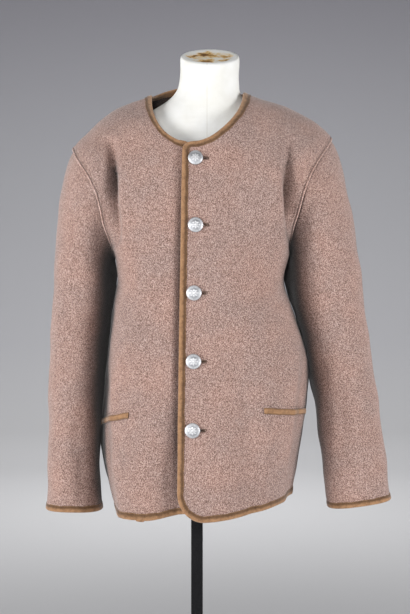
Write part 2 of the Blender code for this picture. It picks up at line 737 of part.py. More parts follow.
def buttonhole_cutter(number, place, facing):
    """A keyhole-shaped prism: a round eye at the shank and a slit away from the edge."""
    made = bmesh.new()
    bmesh.ops.create_cone(
        made, cap_ends=True, segments=EYE_SIDES, radius1=EYE_RADIUS, radius2=EYE_RADIUS, depth=CUTTER_DEPTH
    )
    mesh = bpy.data.meshes.new(f"eye_{number}")
    made.to_mesh(mesh)
    made.free()
    eye = add_object(f"eye_{number}", mesh, None, "cutters")
    bpy.ops.mesh.primitive_cube_add(size=1)
    slit = bpy.context.object
    slit.name = f"slit_{number}"
    for corner in slit.data.vertices:
        corner.co.x = (corner.co.x + 0.5) * SLIT_LENGTH
        corner.co.y *= SLIT_WIDTH
        corner.co.z *= CUTTER_DEPTH
    for old in list(slit.users_collection):
        old.objects.unlink(slit)
    bpy.data.collections["cutters"].objects.link(slit)
    for cutter in (eye, slit):
        cutter.location = place
        cutter.rotation_mode = "QUATERNION"
        cutter.rotation_quaternion = tilt_from_z(facing)
        cutter.hide_render = True
        cutter.display_type = "WIRE"
    return eye, slit


# ---- dress form and stand -----------------------------------------------------------------------------

def dress_form(material):
    """A closed limbless torso with a neck, through ovals whose upper ones tip towards the front."""
    rings = np.arange(FORM["ring"][0], FORM["ring"][-1] + FORM_RING_STEP, FORM_RING_STEP)
    angle = 2 * math.pi * np.arange(FORM_COLUMNS_ROUND) / FORM_COLUMNS_ROUND
    shape = Shape()
    loops = []
    for i, ring in enumerate(rings):
        row = {name: float(read(FORM, name, ring)) for name in FORM}
        y_mid = (row["y_front"] + row["y_back"]) / 2
        deep = (row["y_back"] - row["y_front"]) / 2
        reach = oval(angle, row["wide"], row["wide"], deep, deep, row["square"])
        y = reach * np.sin(angle)
        x = row["x"] + reach * np.cos(angle)
        z = row["z"] + y * math.tan(math.radians(row["tilt"]))
        places = np.stack([x, y_mid + y, z], axis=-1) * MM
        loops.append([shape.point("skin", (i, j), place) for j, place in enumerate(places)])
    for below, above in zip(loops, loops[1:]):
        for j in range(len(angle)):
            k = (j + 1) % len(angle)
            shape.face(below[j], below[k], above[k], above[j])
    shape.face(*reversed(loops[0]))
    shape.face(*loops[-1])
    return shape.build("dress_form", material)


def stand(material):
    low = BASE_THICKNESS + GAP
    high = FORM_UNDERSIDE - GAP
    bpy.ops.mesh.primitive_cube_add(size=1)
    pole = bpy.context.object
    pole.name = "stand_pole"
    for corner in pole.data.vertices:
        corner.co.x *= POLE_SIDE
        corner.co.y *= POLE_SIDE
        corner.co.z = low + (corner.co.z + 0.5) * (high - low)
    move_to_part(pole, material)
    rounded(pole, POLE_EDGE, 2)
    bpy.ops.mesh.primitive_cylinder_add(vertices=BASE_SIDES, radius=BASE_RADIUS, depth=BASE_THICKNESS)
    base = bpy.context.object
    base.name = "stand_base"
    for corner in base.data.vertices:
        corner.co.z += BASE_THICKNESS / 2
    move_to_part(base, material)
    rounded(base, BASE_EDGE, 2)
    inner = POLE_SIDE / math.sqrt(2) + GAP
    foot = BASE_THICKNESS + GAP
    profile = (
        (inner, foot + COLLAR_HEIGHT),
        (inner, foot),
        (COLLAR_RADIUS, foot),
        (COLLAR_RADIUS, foot + COLLAR_HEIGHT - COLLAR_EDGE),
        (COLLAR_RADIUS - COLLAR_EDGE, foot + COLLAR_HEIGHT),
        (inner, foot + COLLAR_HEIGHT),
    )
    turned("stand_collar", profile, COLLAR_SIDES, material)


def move_to_part(made, material):
    for old in list(made.users_collection):
        old.objects.unlink(made)
    bpy.data.collections["loden_jacket"].objects.link(made)
    made.data.materials.clear()
    made.data.materials.append(material)


def rounded(made, width, segments):
    bevel = made.modifiers.new("edges", "BEVEL")
    bevel.width = width
    bevel.segments = segments
    bevel.limit_method = "ANGLE"


# ---- build --------------------------------------------------------------------------------------------

def surface_material(name, colour, roughness, metallic=0.0):
    made = bpy.data.materials.new(name)
    made.use_nodes = True
    shader = made.node_tree.nodes["Principled BSDF"]
    shader.inputs["Base Color"].default_value = (*colour, 1)
    shader.inputs["Roughness"].default_value = roughness
    shader.inputs["Metallic"].default_value = metallic
    made.diffuse_color = (*colour, 1)
    return made


def clear_scene():
    for old in list(bpy.data.objects):
        bpy.data.objects.remove(old)
    for name in ("loden_jacket", "cutters"):
        bpy.context.scene.collection.children.link(bpy.data.collections.new(name))


def main():
    clear_scene()
    loden = surface_material("loden", (0.40, 0.27, 0.23), 0.95)
    suede = surface_material("suede", (0.32, 0.19, 0.10), 0.8)
    metal = surface_material("button_metal", (0.62, 0.62, 0.64), 0.35, 1.0)
    cotton = surface_material("form_cotton", (0.86, 0.86, 0.83), 0.9)
    black = surface_material("stand_paint", (0.02, 0.02, 0.02), 0.45)

    fronts = {}
    for side, surface in (("left", lapped), ("right", torso)):
        points, normals = panel_points(*front_grid(side), surface)
        fronts[side] = panel(f"front_{side}", points, normals, loden)
        front_binding(f"binding_front_{side}", points, normals, suede)
        welt(side, suede)
    points, normals = panel_points(*back_grid(), torso)
    panel("back", points, normals, loden)
    row_binding("binding_back_hem", points, normals, 0, 1, suede)
    row_binding("binding_back_neck", points, normals, -1, -2, suede)

    for side in SIDE_SIGN:
        points, normals = sleeve_points(side)
        wall(f"sleeve_{side}", points, points - normals * CLOTH, loden, closed=True)
        cuff_binding(f"cuff_binding_{side}", points, normals, suede)

    for number, x in enumerate(BUTTON_X, 1):
        z = BUTTON_Z_FIRST + BUTTON_STEP * (number - 1)
        place, facing = button_frame(x, z)
        button(number, place, facing, metal)
        for cutter in buttonhole_cutter(number, place, facing):
            cut = fronts["left"].modifiers.new(cutter.name, "BOOLEAN")
            cut.operation = "DIFFERENCE"
            cut.solver = "EXACT"
            cut.object = cutter

    dress_form(cotton)
    stand(black)


main()
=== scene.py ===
"""Looks of the loden jacket on its dress form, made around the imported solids.

Metres, +Z up, front towards -Y, the wearer's left is +X. The torso and the sleeves are the same surfaces as
the solids', with finer cells, creases, raised seams, stitches and materials.
"""

import math

import bpy
import numpy as np
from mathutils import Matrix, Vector
from mathutils.bvhtree import BVHTree


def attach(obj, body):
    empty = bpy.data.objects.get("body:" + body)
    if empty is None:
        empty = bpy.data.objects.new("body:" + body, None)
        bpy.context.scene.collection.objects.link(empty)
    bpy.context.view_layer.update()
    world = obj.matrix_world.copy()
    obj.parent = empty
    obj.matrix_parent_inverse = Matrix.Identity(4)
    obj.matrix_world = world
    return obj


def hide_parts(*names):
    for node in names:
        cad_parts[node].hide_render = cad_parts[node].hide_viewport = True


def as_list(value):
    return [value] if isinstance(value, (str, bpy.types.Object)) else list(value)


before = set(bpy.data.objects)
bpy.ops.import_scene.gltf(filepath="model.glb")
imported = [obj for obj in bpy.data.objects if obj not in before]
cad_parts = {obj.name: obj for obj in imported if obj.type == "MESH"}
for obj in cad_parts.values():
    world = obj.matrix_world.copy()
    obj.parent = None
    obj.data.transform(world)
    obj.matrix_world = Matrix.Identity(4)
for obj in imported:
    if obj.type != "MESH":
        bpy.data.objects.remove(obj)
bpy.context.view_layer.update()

MM = 0.001

# Camera: level, two metres in front of the jacket
CAMERA_PLACE = (0.0152, -2.130, 1.100)
CAMERA_LENS = 65.88
SENSOR_WIDTH = 36.0

# Cloth and the lap, as in the solids
CLOTH = 2.8 * MM
GAP = 0.3 * MM
LAP_LIFT = 5.9 * MM
LAP_FULL_X = 32 * MM
LAP_FLAT_X = 92 * MM
EDGE_X_TOP = -24 * MM
EDGE_X_BOTTOM = -31.5 * MM
EDGE_Z_TOP = 1340 * MM
EDGE_Z_BOTTOM = 800 * MM
UNDERLAP_X = 20 * MM
CORNER_RADIUS = 46 * MM
NECK_CORNER_RADIUS = 17 * MM
UNDERLAP_HEM_RISE = 12 * MM
UNDERLAP_RISE_FROM_X = -90 * MM
UNDERLAP_RISE_TO_X = -10 * MM
HEM_RISE_FADE = 200 * MM

# Torso surface, one row for each ring from hem (0) to neckline (1), in millimetres
TORSO_COLUMNS = (
    "ring x_left x_mid x_right y_front y_mid y_back z_front z_left z_right z_back "
    "square_left square_right square_back bend"
)
TORSO_ROWS = (
    (0.000, -150, 12, 179, -146, -2, 134, 722, 724, 750, 738, 4.2, 2.2, 2.5, 1.5),
    (0.120, -176, 13, 195, -146, -2, 134, 804, 828, 844, 828, 3.2, 2.7, 2.6, 1.8),
    (0.235, -173, 15, 209, -144, -2, 130, 882, 922, 932, 918, 3.0, 3.0, 2.7, 2.0),
    (0.350, -164, 15, 204, -140, -2, 124, 959, 1018, 1024, 1010, 3.0, 3.0, 2.7, 2.0),
    (0.450, -155, 14, 175, -136, 0, 120, 1027, 1104, 1108, 1094, 2.9, 2.9, 2.7, 2.0),
    (0.520, -148, 12, 164, -134, 2, 120, 1074, 1156, 1162, 1150, 2.8, 2.8, 2.7, 2.0),
    (0.570, -154, 11, 175, -132, 2, 122, 1108, 1196, 1208, 1190, 2.7, 2.7, 2.7, 2.0),
    (0.670, -201, 9, 218, -129, 6, 124, 1175, 1296, 1314, 1276, 2.6, 2.6, 2.6, 2.0),
    (0.780, -235, 8, 254, -124, 8, 120, 1249, 1398, 1418, 1368, 2.4, 2.4, 2.4, 2.1),
    (0.835, -206, 6, 232, -121, 8, 112, 1287, 1431, 1442, 1412, 2.3, 2.3, 2.3, 2.2),
    (0.890, -167, 4, 184, -117, 6, 100, 1324, 1465, 1471, 1454, 2.3, 2.3, 2.3, 2.4),
    (1.000, -88, -8, 90, -101, -4, 66, 1396, 1499, 1504, 1527, 2.8, 2.8, 2.4, 2.3),
)
FRONT_HEIGHT = 672 * MM
UNDERARM = 0.570
SHOULDER_TIP = 0.780
ARMHOLE_ANGLE = math.radians(25)
ARMHOLE_SKEW = 1.08
ARMHOLE_ROUND = 2.0
ARMHOLE_SQUEEZE = 2.4
ANGLE_ROUNDS = 12
HALVINGS = 30

# Folds: troughs along lines seen from the front (-1) or back (+1), in millimetres
FOLD_COLUMNS = "face x_top z_top x_bottom z_bottom bow width depth"
TORSO_FOLD_ROWS = (
    (-1, -158, 1412, -149, 1208, 0, 10.5, 26),
    (-1, -176, 1384, -174, 1330, 2, 8, 2),
    (-1, 168, 1415, 180, 1200, -4, 11, 22),
    (-1, -30, 880, -66, 640, 0, 30, 8),
    (-1, -118, 1010, -150, 780, -6, 20, 4),
    (-1, 150, 1010, 172, 800, 6, 22, 4),
    (-1, 88, 960, 96, 660, 4, 15, 5),
    (-1, -128, 1210, -60, 1150, 4, 16, 2),
    (-1, 140, 1220, 84, 1150, -4, 18, 2),
    (-1, -100, 1130, -140, 1075, 0, 14, 2),
    (1, -150, 1400, -148, 1200, 6, 16, 9),
    (1, 168, 1410, 170, 1210, -6, 16, 9),
    (1, 20, 980, 34, 640, 0, 40, 6),
    (1, -86, 900, -110, 660, 8, 30, 5),
    (1, 120, 930, 138, 660, -8, 28, 5),
    (1, -20, 1210, 90, 1150, 8, 20, 3),
    (1, 60, 1120, -90, 1070, -6, 22, 3),
)
# On the front that lies under the other one
RIGHT_FOLD_ROWS = (
    (-1, -26, 1400, -32, 560, 0, 8, 5),
    (-1, -18, 940, -66, 480, 0, 44, 12),
)
SLEEVE_FOLD_ROWS = (
    (-1, 214, 1372, 199, 1268, 5, 10, 5),
    (-1, -200, 1360, -176, 1262, -6, 10, 4),
    (-1, 236, 1100, 300, 1062, 4, 14, 3),
    (-1, 232, 1010, 296, 1028, -4, 13, 3),
    (-1, -190, 1060, -250, 1092, 4, 15, 3),
    (-1, -186, 985, -244, 970, 4, 13, 2),
    (-1, 262, 960, 268, 770, 6, 15, 4),
    (-1, -212, 930, -206, 745, -5, 15, 4),
    (1, 216, 1340, 206, 1240, -5, 12, 5),
    (1, -200, 1330, -190, 1240, 5, 12, 5),
    (1, 230, 1090, 300, 1040, -5, 15, 4),
    (1, 240, 1000, 305, 985, 4, 13, 3),
    (1, -180, 1075, -250, 1040, 5, 15, 4),
    (1, -186, 985, -250, 960, -4, 13, 3),
)

# A fold's shape: the low ridge beside it (share of its depth, most mm, place and width in fold widths),
# how pointed its trough is, how it fades at its ends, and how far it wanders and varies
FOLD_SHOULDER, SHOULDER_MOST, FOLD_REACH, SHOULDER_WIDTH = 0.20, 2.0, 1.9, 0.9
FOLD_POINTED = 1.7
FOLD_ENDS = 0.65
FOLD_WANDER = 1.5
FOLD_UNEVEN = 0.18
FACING_FADE = 20 * MM

# Low down, the cloth beside the flat part of the front is drawn back, in millimetres
SIDE_TURN_COLUMNS = "z x_left x_right depth"
SIDE_TURN_ROWS = (
    (640, -134, 146, 26),
    (745, -140, 158, 28),
    (840, -152, 171, 28),
    (904, -155, 176, 24),
    (967, -157, 182, 17),
    (1060, -164, 190, 5),
    (1120, -170, 190, 0),
    (1600, -170, 190, 0),
)
SIDE_TURN_SPREAD = 11 * MM
SIDE_TURN_FADE = 55 * MM

# How far the wearer's right side swells towards the sleeve behind the turned-in front, in millimetres,
# how narrow this is about the side's middle, and where round the side it starts and is full
SIDE_FILL_COLUMNS = "z out"
SIDE_FILL_ROWS = ((740, 0), (800, 4), (860, 6.5), (970, 6.5), (1070, 5), (1145, 0))
SIDE_FILL_NARROW = 3
SIDE_FILL_FROM, SIDE_FILL_TO = -0.25, 0.10

# Slow unevenness of felted cloth: waves along a direction, with a length and a height in millimetres
WAVE_COLUMNS = "x y z length height phase"
WAVE_ROWS = (
    (1.0, 0.4, 0.5, 150, 0.9, 0.3),
    (-0.6, 0.5, 1.0, 96, 0.7, 1.9),
    (0.8, -0.7, -0.5, 61, 0.45, 4.1),
    (0.2, 0.9, -1.0, 43, 0.3, 2.6),
    (1.0, 0.1, -0.2, 28, 0.15, 5.2),
)

# Raised armhole seam, in millimetres from the seam
RIDGE_HEIGHT = 2.2
RIDGE_FROM = 6.6
RIDGE_TO = 10.0
GROOVE_AT = 5.0
GROOVE_WIDTH = 1.3
GROOVE_DEPTH = 1.5
SEAM_DROP = 0.6
SEAM_DROP_WIDTH = 0.5
SEAM_MARGIN = 12 * MM
SEAM_POINTS = 361
ROLL_AT = 2.0
ROLL_WIDTH = 1.8 * MM
ROLL_HEIGHT = 1.6 * MM
ROLL_SIDES = 8
ROLL_ENDS, ROLL_FADE = 0.35, 0.3
ARMHOLE_THREAD_RADIUS = 0.5 * MM
SLEEVE_TUCK = 2.4
SLEEVE_TUCK_WIDTH = 0.014

# Sleeves, one row for each section below the sleeve head, in millimetres
SLEEVE_COLUMNS = "down x y z outward deep"
SLEEVE_ROWS = {
    "left": (
        (0.00, 243, 2, 1165, 66, 74),
        (0.22, 258, -2, 1068, 63, 66),
        (0.46, 276, -8, 962, 59.5, 60),
        (0.70, 288, -18, 855, 60, 55),
        (0.90, 298, -26, 776, 59, 49),
        (1.00, 303, -29, 737, 58, 46),
    ),
    "right": (
        (0.00, -219, 2, 1165, 51, 76),
        (0.22, -224, -2, 1072, 50, 69),
        (0.46, -229, -8, 968, 48.5, 64),
        (0.70, -231, -16, 862, 48, 59),
        (0.90, -230.5, -24, 770, 49, 52),
        (1.00, -229, -27, 726, 51.5, 48),
    ),
}
SIDE_SIGN = {"left": 1, "right": -1}
SLEEVE_SQUARE = 2.3

# How far the back of each sleeve's inner side swells towards the body, down the sleeve, in millimetres
SWELL_COLUMNS = "down reach"
SWELL_ROWS = {
    "left": (
        (0.00, 15), (0.10, 12), (0.18, 3), (0.26, 0), (0.38, 0), (0.43, 4), (0.47, 4), (0.54, 0), (1.00, 0),
    ),
    "right": (
        (0.00, 19), (0.10, 18), (0.22, 15.5), (0.46, 11), (0.58, 8.5), (0.66, 5.5), (0.76, 0), (1.00, 0),
    ),
}
SWELL_MIDDLE = math.radians(215)
SWELL_SPREAD = math.radians(34)
HEAD_PART = 0.30
HEAD_START_PULL = {"left": 0.40, "right": 0.75}
HEAD_CALM = {"left": 0.3, "right": 0.4}
HEAD_SOFTENING = 90
HEAD_CROWDING = 1.15
HEAD_FADE = 3
HEAD_END_PULL = 0.85
LEAVING_STEP = 0.02
HEAD_TURN_TOP = {"left": math.radians(42), "right": math.radians(18)}
HEAD_TURN_UNDERARM = math.radians(98)
HEAD_TURN_LATE = {"left": 1.5, "right": 2.0}

# Cells of the fine panels: distances from an edge, and counts
EDGE_LAYERS = np.arange(0, 10.1, 2) * MM
NEAR_STEPS = 10
FRONT_COLUMNS = 58
FRONT_COLUMN_CROWDING = 0.85
BACK_COLUMNS = 104
SEAM_STEPS = 9
SEAM_SHARE_FRONT = 0.05
SEAM_SHARE_BACK = 0.03
SIDE_ROWS = 88
ARMHOLE_ROWS = 56
SHOULDER_ROWS = 32
SLEEVE_AROUND = 128
HEAD_ROWS = 46
TUBE_ROWS = 104

# Buttons
BUTTON_X = (-6.6 * MM, -5.2 * MM, -4.3 * MM, -1.7 * MM, -1.8 * MM)
BUTTON_Z_FIRST = 882 * MM
BUTTON_STEP = 121.4 * MM
BUTTON_RADIUS = 13.3 * MM
BUTTON_CLEARANCE = 0.8 * MM
BUTTON_PROFILE = (
    (0.00, 5.6 * MM),
    (0.45, 5.1 * MM),
    (0.80, 3.6 * MM),
    (0.93, 3.0 * MM),
    (1.00, 1.9 * MM),
    (0.94, 0.8 * MM),
    (0.55, 0.2 * MM),
)
BUTTON_AROUND = 112
BUTTON_RINGS = 46
SHANK_RADIUS = 2.0 * MM
SLIT_LENGTH = 22 * MM
SLIT_WIDTH = 1.6 * MM
EYE_RADIUS = 3.0 * MM

# Pocket welts
WELT_HEIGHT = 11 * MM
WELT_LENGTH = 138 * MM
WELTS = {
    "left": {"x": 120 * MM, "z": 915 * MM, "drop": 9 * MM},
    "right": {"x": -122 * MM, "z": 906 * MM, "drop": 24 * MM},
}

# Dress form: one row for each ring from its underside to the neck's top, in millimetres
FORM_COLUMNS = "ring x z wide y_front y_back square tilt"
FORM_ROWS = (
    (0, 8, 800, 118, -84, 84, 2.4, 0),
    (1, 8, 812, 132, -96, 98, 2.4, 0),
    (2, 9, 900, 145, -108, 108, 2.4, 0),
    (3, 10, 1010, 134, -100, 94, 2.3, 0),
    (4, 12, 1110, 132, -98, 92, 2.3, 0),
    (5, 14, 1210, 142, -108, 100, 2.3, 0),
    (6, 16, 1300, 176, -106, 104, 2.3, 0),
    (7, 17, 1362, 196, -92, 94, 2.2, 0),
    (8, 18, 1405, 196, -76, 80, 2.1, 0),
    (9, 18, 1440, 168, -66, 70, 2.0, 0),
    (10, 18, 1468, 112, -58, 62, 2.0, 4),
    (11, 19, 1488, 78, -55, 60, 2.0, 8),
    (12, 20.5, 1505, 62, -54, 59, 2.0, 11),
    (13, 23, 1526, 57, -54, 58, 2.0, 16),
    (14, 24.5, 1570, 56, -54, 58, 2.0, 25),
    (15, 24.5, 1576, 51, -49, 53, 2.0, 25),
)


# ---- tables

def table(columns, rows):
    """The table's named columns as arrays."""
    return dict(zip(columns.split(), np.array(rows, float).T))


def cubic(t, start, end, leaving, arriving):
    """A smooth curve from start to end, with its directions at both."""
    ends = start * (1 + 2 * t) * (1 - t) ** 2 + end * (3 - 2 * t) * t**2
    return ends + t * (1 - t) * (leaving * (1 - t) - arriving * t)


def read(columns, name, at):
    """A column as a smooth cubic through its rows, along the table's first column."""
    knots = next(iter(columns.values()))
    values = columns[name]
    slope = np.gradient(values, knots)
    at = np.clip(at, knots[0], knots[-1])
    i = np.clip(np.searchsorted(knots, at, side="right") - 1, 0, len(knots) - 2)
    step = knots[i + 1] - knots[i]
    t = (at - knots[i]) / step
    return cubic(t, values[i], values[i + 1], step * slope[i], step * slope[i + 1])


TORSO = table(TORSO_COLUMNS, TORSO_ROWS)
TORSO_FOLDS = table(FOLD_COLUMNS, TORSO_FOLD_ROWS)
RIGHT_FOLDS = table(FOLD_COLUMNS, RIGHT_FOLD_ROWS)
SIDE_TURN = table(SIDE_TURN_COLUMNS, SIDE_TURN_ROWS)
SIDE_FILL = table(SIDE_FILL_COLUMNS, SIDE_FILL_ROWS)
SLEEVE_FOLDS = table(FOLD_COLUMNS, SLEEVE_FOLD_ROWS)
WAVES = table(WAVE_COLUMNS, WAVE_ROWS)
SLEEVES = {side: table(SLEEVE_COLUMNS, rows) for side, rows in SLEEVE_ROWS.items()}
SWELLS = {side: table(SWELL_COLUMNS, rows) for side, rows in SWELL_ROWS.items()}
FORM = table(FORM_COLUMNS, FORM_ROWS)


def smoothstep(x):
    x = np.clip(x, 0, 1)
    return x * x * (3 - 2 * x)


def unit(vectors):
    return vectors / np.maximum(np.linalg.norm(vectors, axis=-1, keepdims=True), 1e-12)


def towards(vectors, ways):
    """Vectors, turned round where they point against these ways."""
    return np.where((vectors * ways).sum(axis=-1, keepdims=True) < 0, -vectors, vectors)


def full_turn(count):
    return 2 * math.pi * np.arange(count) / count


def polar(radius, turn, z):
    """Points at a radius, a turn and a height."""
    return np.stack(np.broadcast_arrays(radius * np.cos(turn), radius * np.sin(turn), z), axis=-1)


# ---- relief: folds, waves and the raised seam

def fold_height(points, folds):
    """Height of the folds at these points, in metres: a trough with a low ridge on each side."""
    x, y, z = points[..., 0] / MM, points[..., 1], points[..., 2] / MM
    total = np.zeros(x.shape)
    for i in range(len(folds["face"])):
        fold = {name: folds[name][i] for name in folds}
        line = np.array([fold["x_bottom"] - fold["x_top"], fold["z_bottom"] - fold["z_top"]])
        length = np.hypot(*line)
        along, across = line / length, np.array([-line[1], line[0]]) / length
        dx, dz = x - fold["x_top"], z - fold["z_top"]
        t = (dx * along[0] + dz * along[1]) / length
        inside = np.clip(t, 0, 1)
        bend = fold["bow"] * 4 * inside * (1 - inside) + FOLD_WANDER * np.sin(9 * t + i)
        away = np.abs(dx * across[0] + dz * across[1] - bend) / fold["width"]
        ends = np.sin(math.pi * inside) ** FOLD_ENDS
        ends = ends * (1 + FOLD_UNEVEN * np.sin(7 * t + 2 * i))
        shoulder = min(FOLD_SHOULDER, SHOULDER_MOST / fold["depth"])
        ridge = shoulder * np.exp(-(((away - FOLD_REACH) / SHOULDER_WIDTH) ** 2))
        shape = ridge - np.exp(-(away**FOLD_POINTED))
        facing = smoothstep(y * fold["face"] / FACING_FADE)
        total += facing * fold["depth"] * MM * ends * shape
    return total


def wave_height(points):
    total = np.zeros(points.shape[:-1])
    for i in range(len(WAVES["x"])):
        way = unit(np.array([WAVES[name][i] for name in "xyz"]))
        turns = points @ way / (WAVES["length"][i] * MM)
        total += WAVES["height"][i] * MM * np.sin(2 * math.pi * turns + WAVES["phase"][i])
    return total


# ---- torso surface

def oval(angle, right, left, front, back, square):
    """Distance from the middle to a rounded rectangle's outline, each quarter with its own reach."""
    c, s = np.cos(angle), np.sin(angle)
    half_x = np.where(c < 0, left, right)
    half_y = np.where(s < 0, front, back)
    return ((np.abs(c) / half_x) ** square + (np.abs(s) / half_y) ** square) ** (-1 / square)


def side_turn(x, y, z):
    """How far back the fronts go beside their flat part."""
    left, right, depth = (read(SIDE_TURN, name, z / MM) * MM for name in ("x_left", "x_right", "depth"))
    beyond = np.maximum(left - x, x - right)
    return depth * smoothstep(beyond / SIDE_TURN_SPREAD) * smoothstep(-y / SIDE_TURN_FADE)


def side_fill(c, s, z):
    """How far out the wearer's right side goes behind the front."""
    behind = smoothstep((s - SIDE_FILL_FROM) / (SIDE_FILL_TO - SIDE_FILL_FROM))
    return read(SIDE_FILL, "out", z / MM) * MM * np.maximum(-c, 0) ** SIDE_FILL_NARROW * behind


def torso_base(angle, ring):
    """The smooth torso surface: angle 0 is the wearer's left side seam and -90 degrees is the front."""
    row = {name: read(TORSO, name, ring) * MM for name in TORSO if name[:2] in ("x_", "y_", "z_")}
    c, s = np.cos(angle), np.sin(angle)
    square = np.where(c < 0, read(TORSO, "square_left", ring), read(TORSO, "square_right", ring))
    square = np.where(s > 0, read(TORSO, "square_back", ring), square)
    radius = oval(
        angle,
        row["x_right"] - row["x_mid"],
        row["x_mid"] - row["x_left"],
        row["y_mid"] - row["y_front"],
        row["y_back"] - row["y_mid"],
        square,
    )
    z_side = np.where(c < 0, row["z_left"], row["z_right"])
    z_face = np.where(s < 0, row["z_front"], row["z_back"])
    z = z_face + (z_side - z_face) * np.abs(c) ** read(TORSO, "bend", ring)
    x, y = row["x_mid"] + radius * c, row["y_mid"] + radius * s
    return np.stack([x - side_fill(c, s, z), y + side_turn(x, y, z), z], axis=-1)


def normals_of(surface, u, v, step=2e-4):
    """Outward unit normals of a surface of two parameters, by central differences."""
    along_u = surface(u + step, v) - surface(u - step, v)
    along_v = surface(u, v + step) - surface(u, v - step)
    return unit(np.cross(along_u, along_v))


def torso(angle, ring, lap=False):
    """The torso surface with folds and waves, and with the lift of the front that laps over the other."""
    ring = np.clip(ring, 0, 1)
    points = torso_base(angle, ring)
    out = fold_height(points, TORSO_FOLDS) + wave_height(points)
    if lap:
        flat = smoothstep((points[..., 0] - LAP_FULL_X) / (LAP_FLAT_X - LAP_FULL_X))
        out = out + LAP_LIFT * np.where(np.sin(angle) < 0, 1 - flat, 0)
    return points + normals_of(torso_base, angle, ring) * out[..., None]


def lapped(angle, ring):
    return torso(angle, ring, lap=True)


def lapped_over(angle, ring):
    """The front that lies under the other one, pressed in along the other's edge."""
    points = torso(angle, ring)
    return points + normals_of(torso_base, angle, ring) * fold_height(points, RIGHT_FOLDS)[..., None]


def angle_at_x(x, ring):
    """The angle on the front where the ring passes this x."""
    x_mid = read(TORSO, "x_mid", ring) * MM
    y_mid = read(TORSO, "y_mid", ring) * MM
    angle = np.full(np.broadcast(x, ring).shape, -math.pi / 2)
    for _ in range(ANGLE_ROUNDS):
        found = torso_base(angle, ring)
        reach = np.hypot(found[..., 0] - x_mid, found[..., 1] - y_mid)
        angle = -np.arccos(np.clip((x - x_mid) / reach, -1, 1))
    return angle


def ring_at_z(angle, z):
    """The ring that passes this height at this angle."""
    low, high = np.zeros_like(angle), np.full_like(angle, UNDERARM)
    for _ in range(HALVINGS):
        middle = (low + high) / 2
        below = torso_base(angle, middle)[..., 2] < z
        low, high = np.where(below, middle, low), np.where(below, high, middle)
    return (low + high) / 2


def front_edge_x(ring):
    """The lapping front's edge leans a little towards its lower end."""
    z = read(TORSO, "z_front", ring) * MM
    t = (EDGE_Z_TOP - z) / (EDGE_Z_TOP - EDGE_Z_BOTTOM)
    return EDGE_X_TOP + (EDGE_X_BOTTOM - EDGE_X_TOP) * t


def armhole_angle(ring):
    """Half the angle that the armhole opens at a ring: zero at the underarm and at the shoulder tip."""
    w = np.clip((ring - UNDERARM) / (SHOULDER_TIP - UNDERARM), 0, 1) ** ARMHOLE_SKEW
    return ARMHOLE_ANGLE * np.clip(1 - np.abs(2 * w - 1) ** ARMHOLE_ROUND, 0, 1) ** (1 / ARMHOLE_ROUND)


def seam_angle(ring, side):
    """Half a seam gap at the side seam or the shoulder seam, as an angle."""
    name = "x_right" if side == "left" else "x_left"
    return 0.5 * GAP / (np.abs(read(TORSO, name, ring) - read(TORSO, "x_mid", ring)) * MM)


def armhole_seam(side, around, surface=torso):
    """Seam points of the armhole on the torso, its normals, from the shoulder tip round the front."""
    ring = UNDERARM + (SHOULDER_TIP - UNDERARM) * (1 + np.cos(around)) / 2
    front = np.where(np.sin(around) >= 0, -1, 1)
    open_angle = front * armhole_angle(ring)
    angle = open_angle if side == "left" else math.pi - open_angle
    return surface(angle, ring), normals_of(surface, angle, ring)


SEAMS = {side: armhole_seam(side, np.linspace(0, 2 * math.pi, SEAM_POINTS))[0] for side in SIDE_SIGN}


def seam_relief(points, side):
    """Raised seam allowance beside the armhole, with a stitched groove, in metres."""
    seam = SEAMS[side]
    low, high = seam.min(axis=0) - SEAM_MARGIN, seam.max(axis=0) + SEAM_MARGIN
    near = ((points > low) & (points < high)).all(axis=-1)
    away = np.full(points.shape[:-1], np.inf)
    found = points[near]
    away[near] = [np.sqrt(((seam - p) ** 2).sum(axis=1).min()) / MM for p in found]
    ridge = RIDGE_HEIGHT * smoothstep((RIDGE_TO - away) / (RIDGE_TO - RIDGE_FROM))
    groove = GROOVE_DEPTH * np.exp(-(((away - GROOVE_AT) / GROOVE_WIDTH) ** 2))
    drop = SEAM_DROP * np.exp(-away / SEAM_DROP_WIDTH)
    return (ridge - groove - drop) * MM


# ---- panel grids

def near_distances():
    """Distances from an edge: close layers under the binding, then wider ones to the round corner."""
    rest = np.linspace(EDGE_LAYERS[-1], CORNER_RADIUS, NEAR_STEPS + 1)[1:]
    return np.concatenate([EDGE_LAYERS, rest])


def panel_rings():
    near = near_distances() / FRONT_HEIGHT
    side = np.linspace(near[-1], UNDERARM, SIDE_ROWS + 1)[1:]
    turn = (1 - np.cos(math.pi * np.arange(1, ARMHOLE_ROWS + 1) / ARMHOLE_ROWS)) / 2
    armhole = UNDERARM + (SHOULDER_TIP - UNDERARM) * turn
    neck = 1 - EDGE_LAYERS[::-1] / FRONT_HEIGHT
    shoulder = np.linspace(SHOULDER_TIP, neck[0], SHOULDER_ROWS + 1)[1:]
    return np.concatenate([near, side, armhole, shoulder, neck[1:]])


def round_corner(a, h, radius):
    """Moves points of a square corner's grid onto quarter circles about the corner's centre."""
    p = np.clip((radius - a) / radius, 0, 1)
    q = np.clip((radius - h) / radius, 0, 1)
    inside = (p > 0) & (q > 0)
    scale = np.where(inside, np.maximum(p, q) / np.maximum(np.hypot(p, q), 1e-9), 1)
    return np.where(inside, radius * (1 - p * scale), a), np.where(inside, radius * (1 - q * scale), h)


def front_shares():
    main = np.linspace(0, 1 - SEAM_SHARE_FRONT, FRONT_COLUMNS + 1)[1:]
    seam = np.linspace(1 - SEAM_SHARE_FRONT, 1, SEAM_STEPS + 1)[1:]
    return np.concatenate([main, seam])


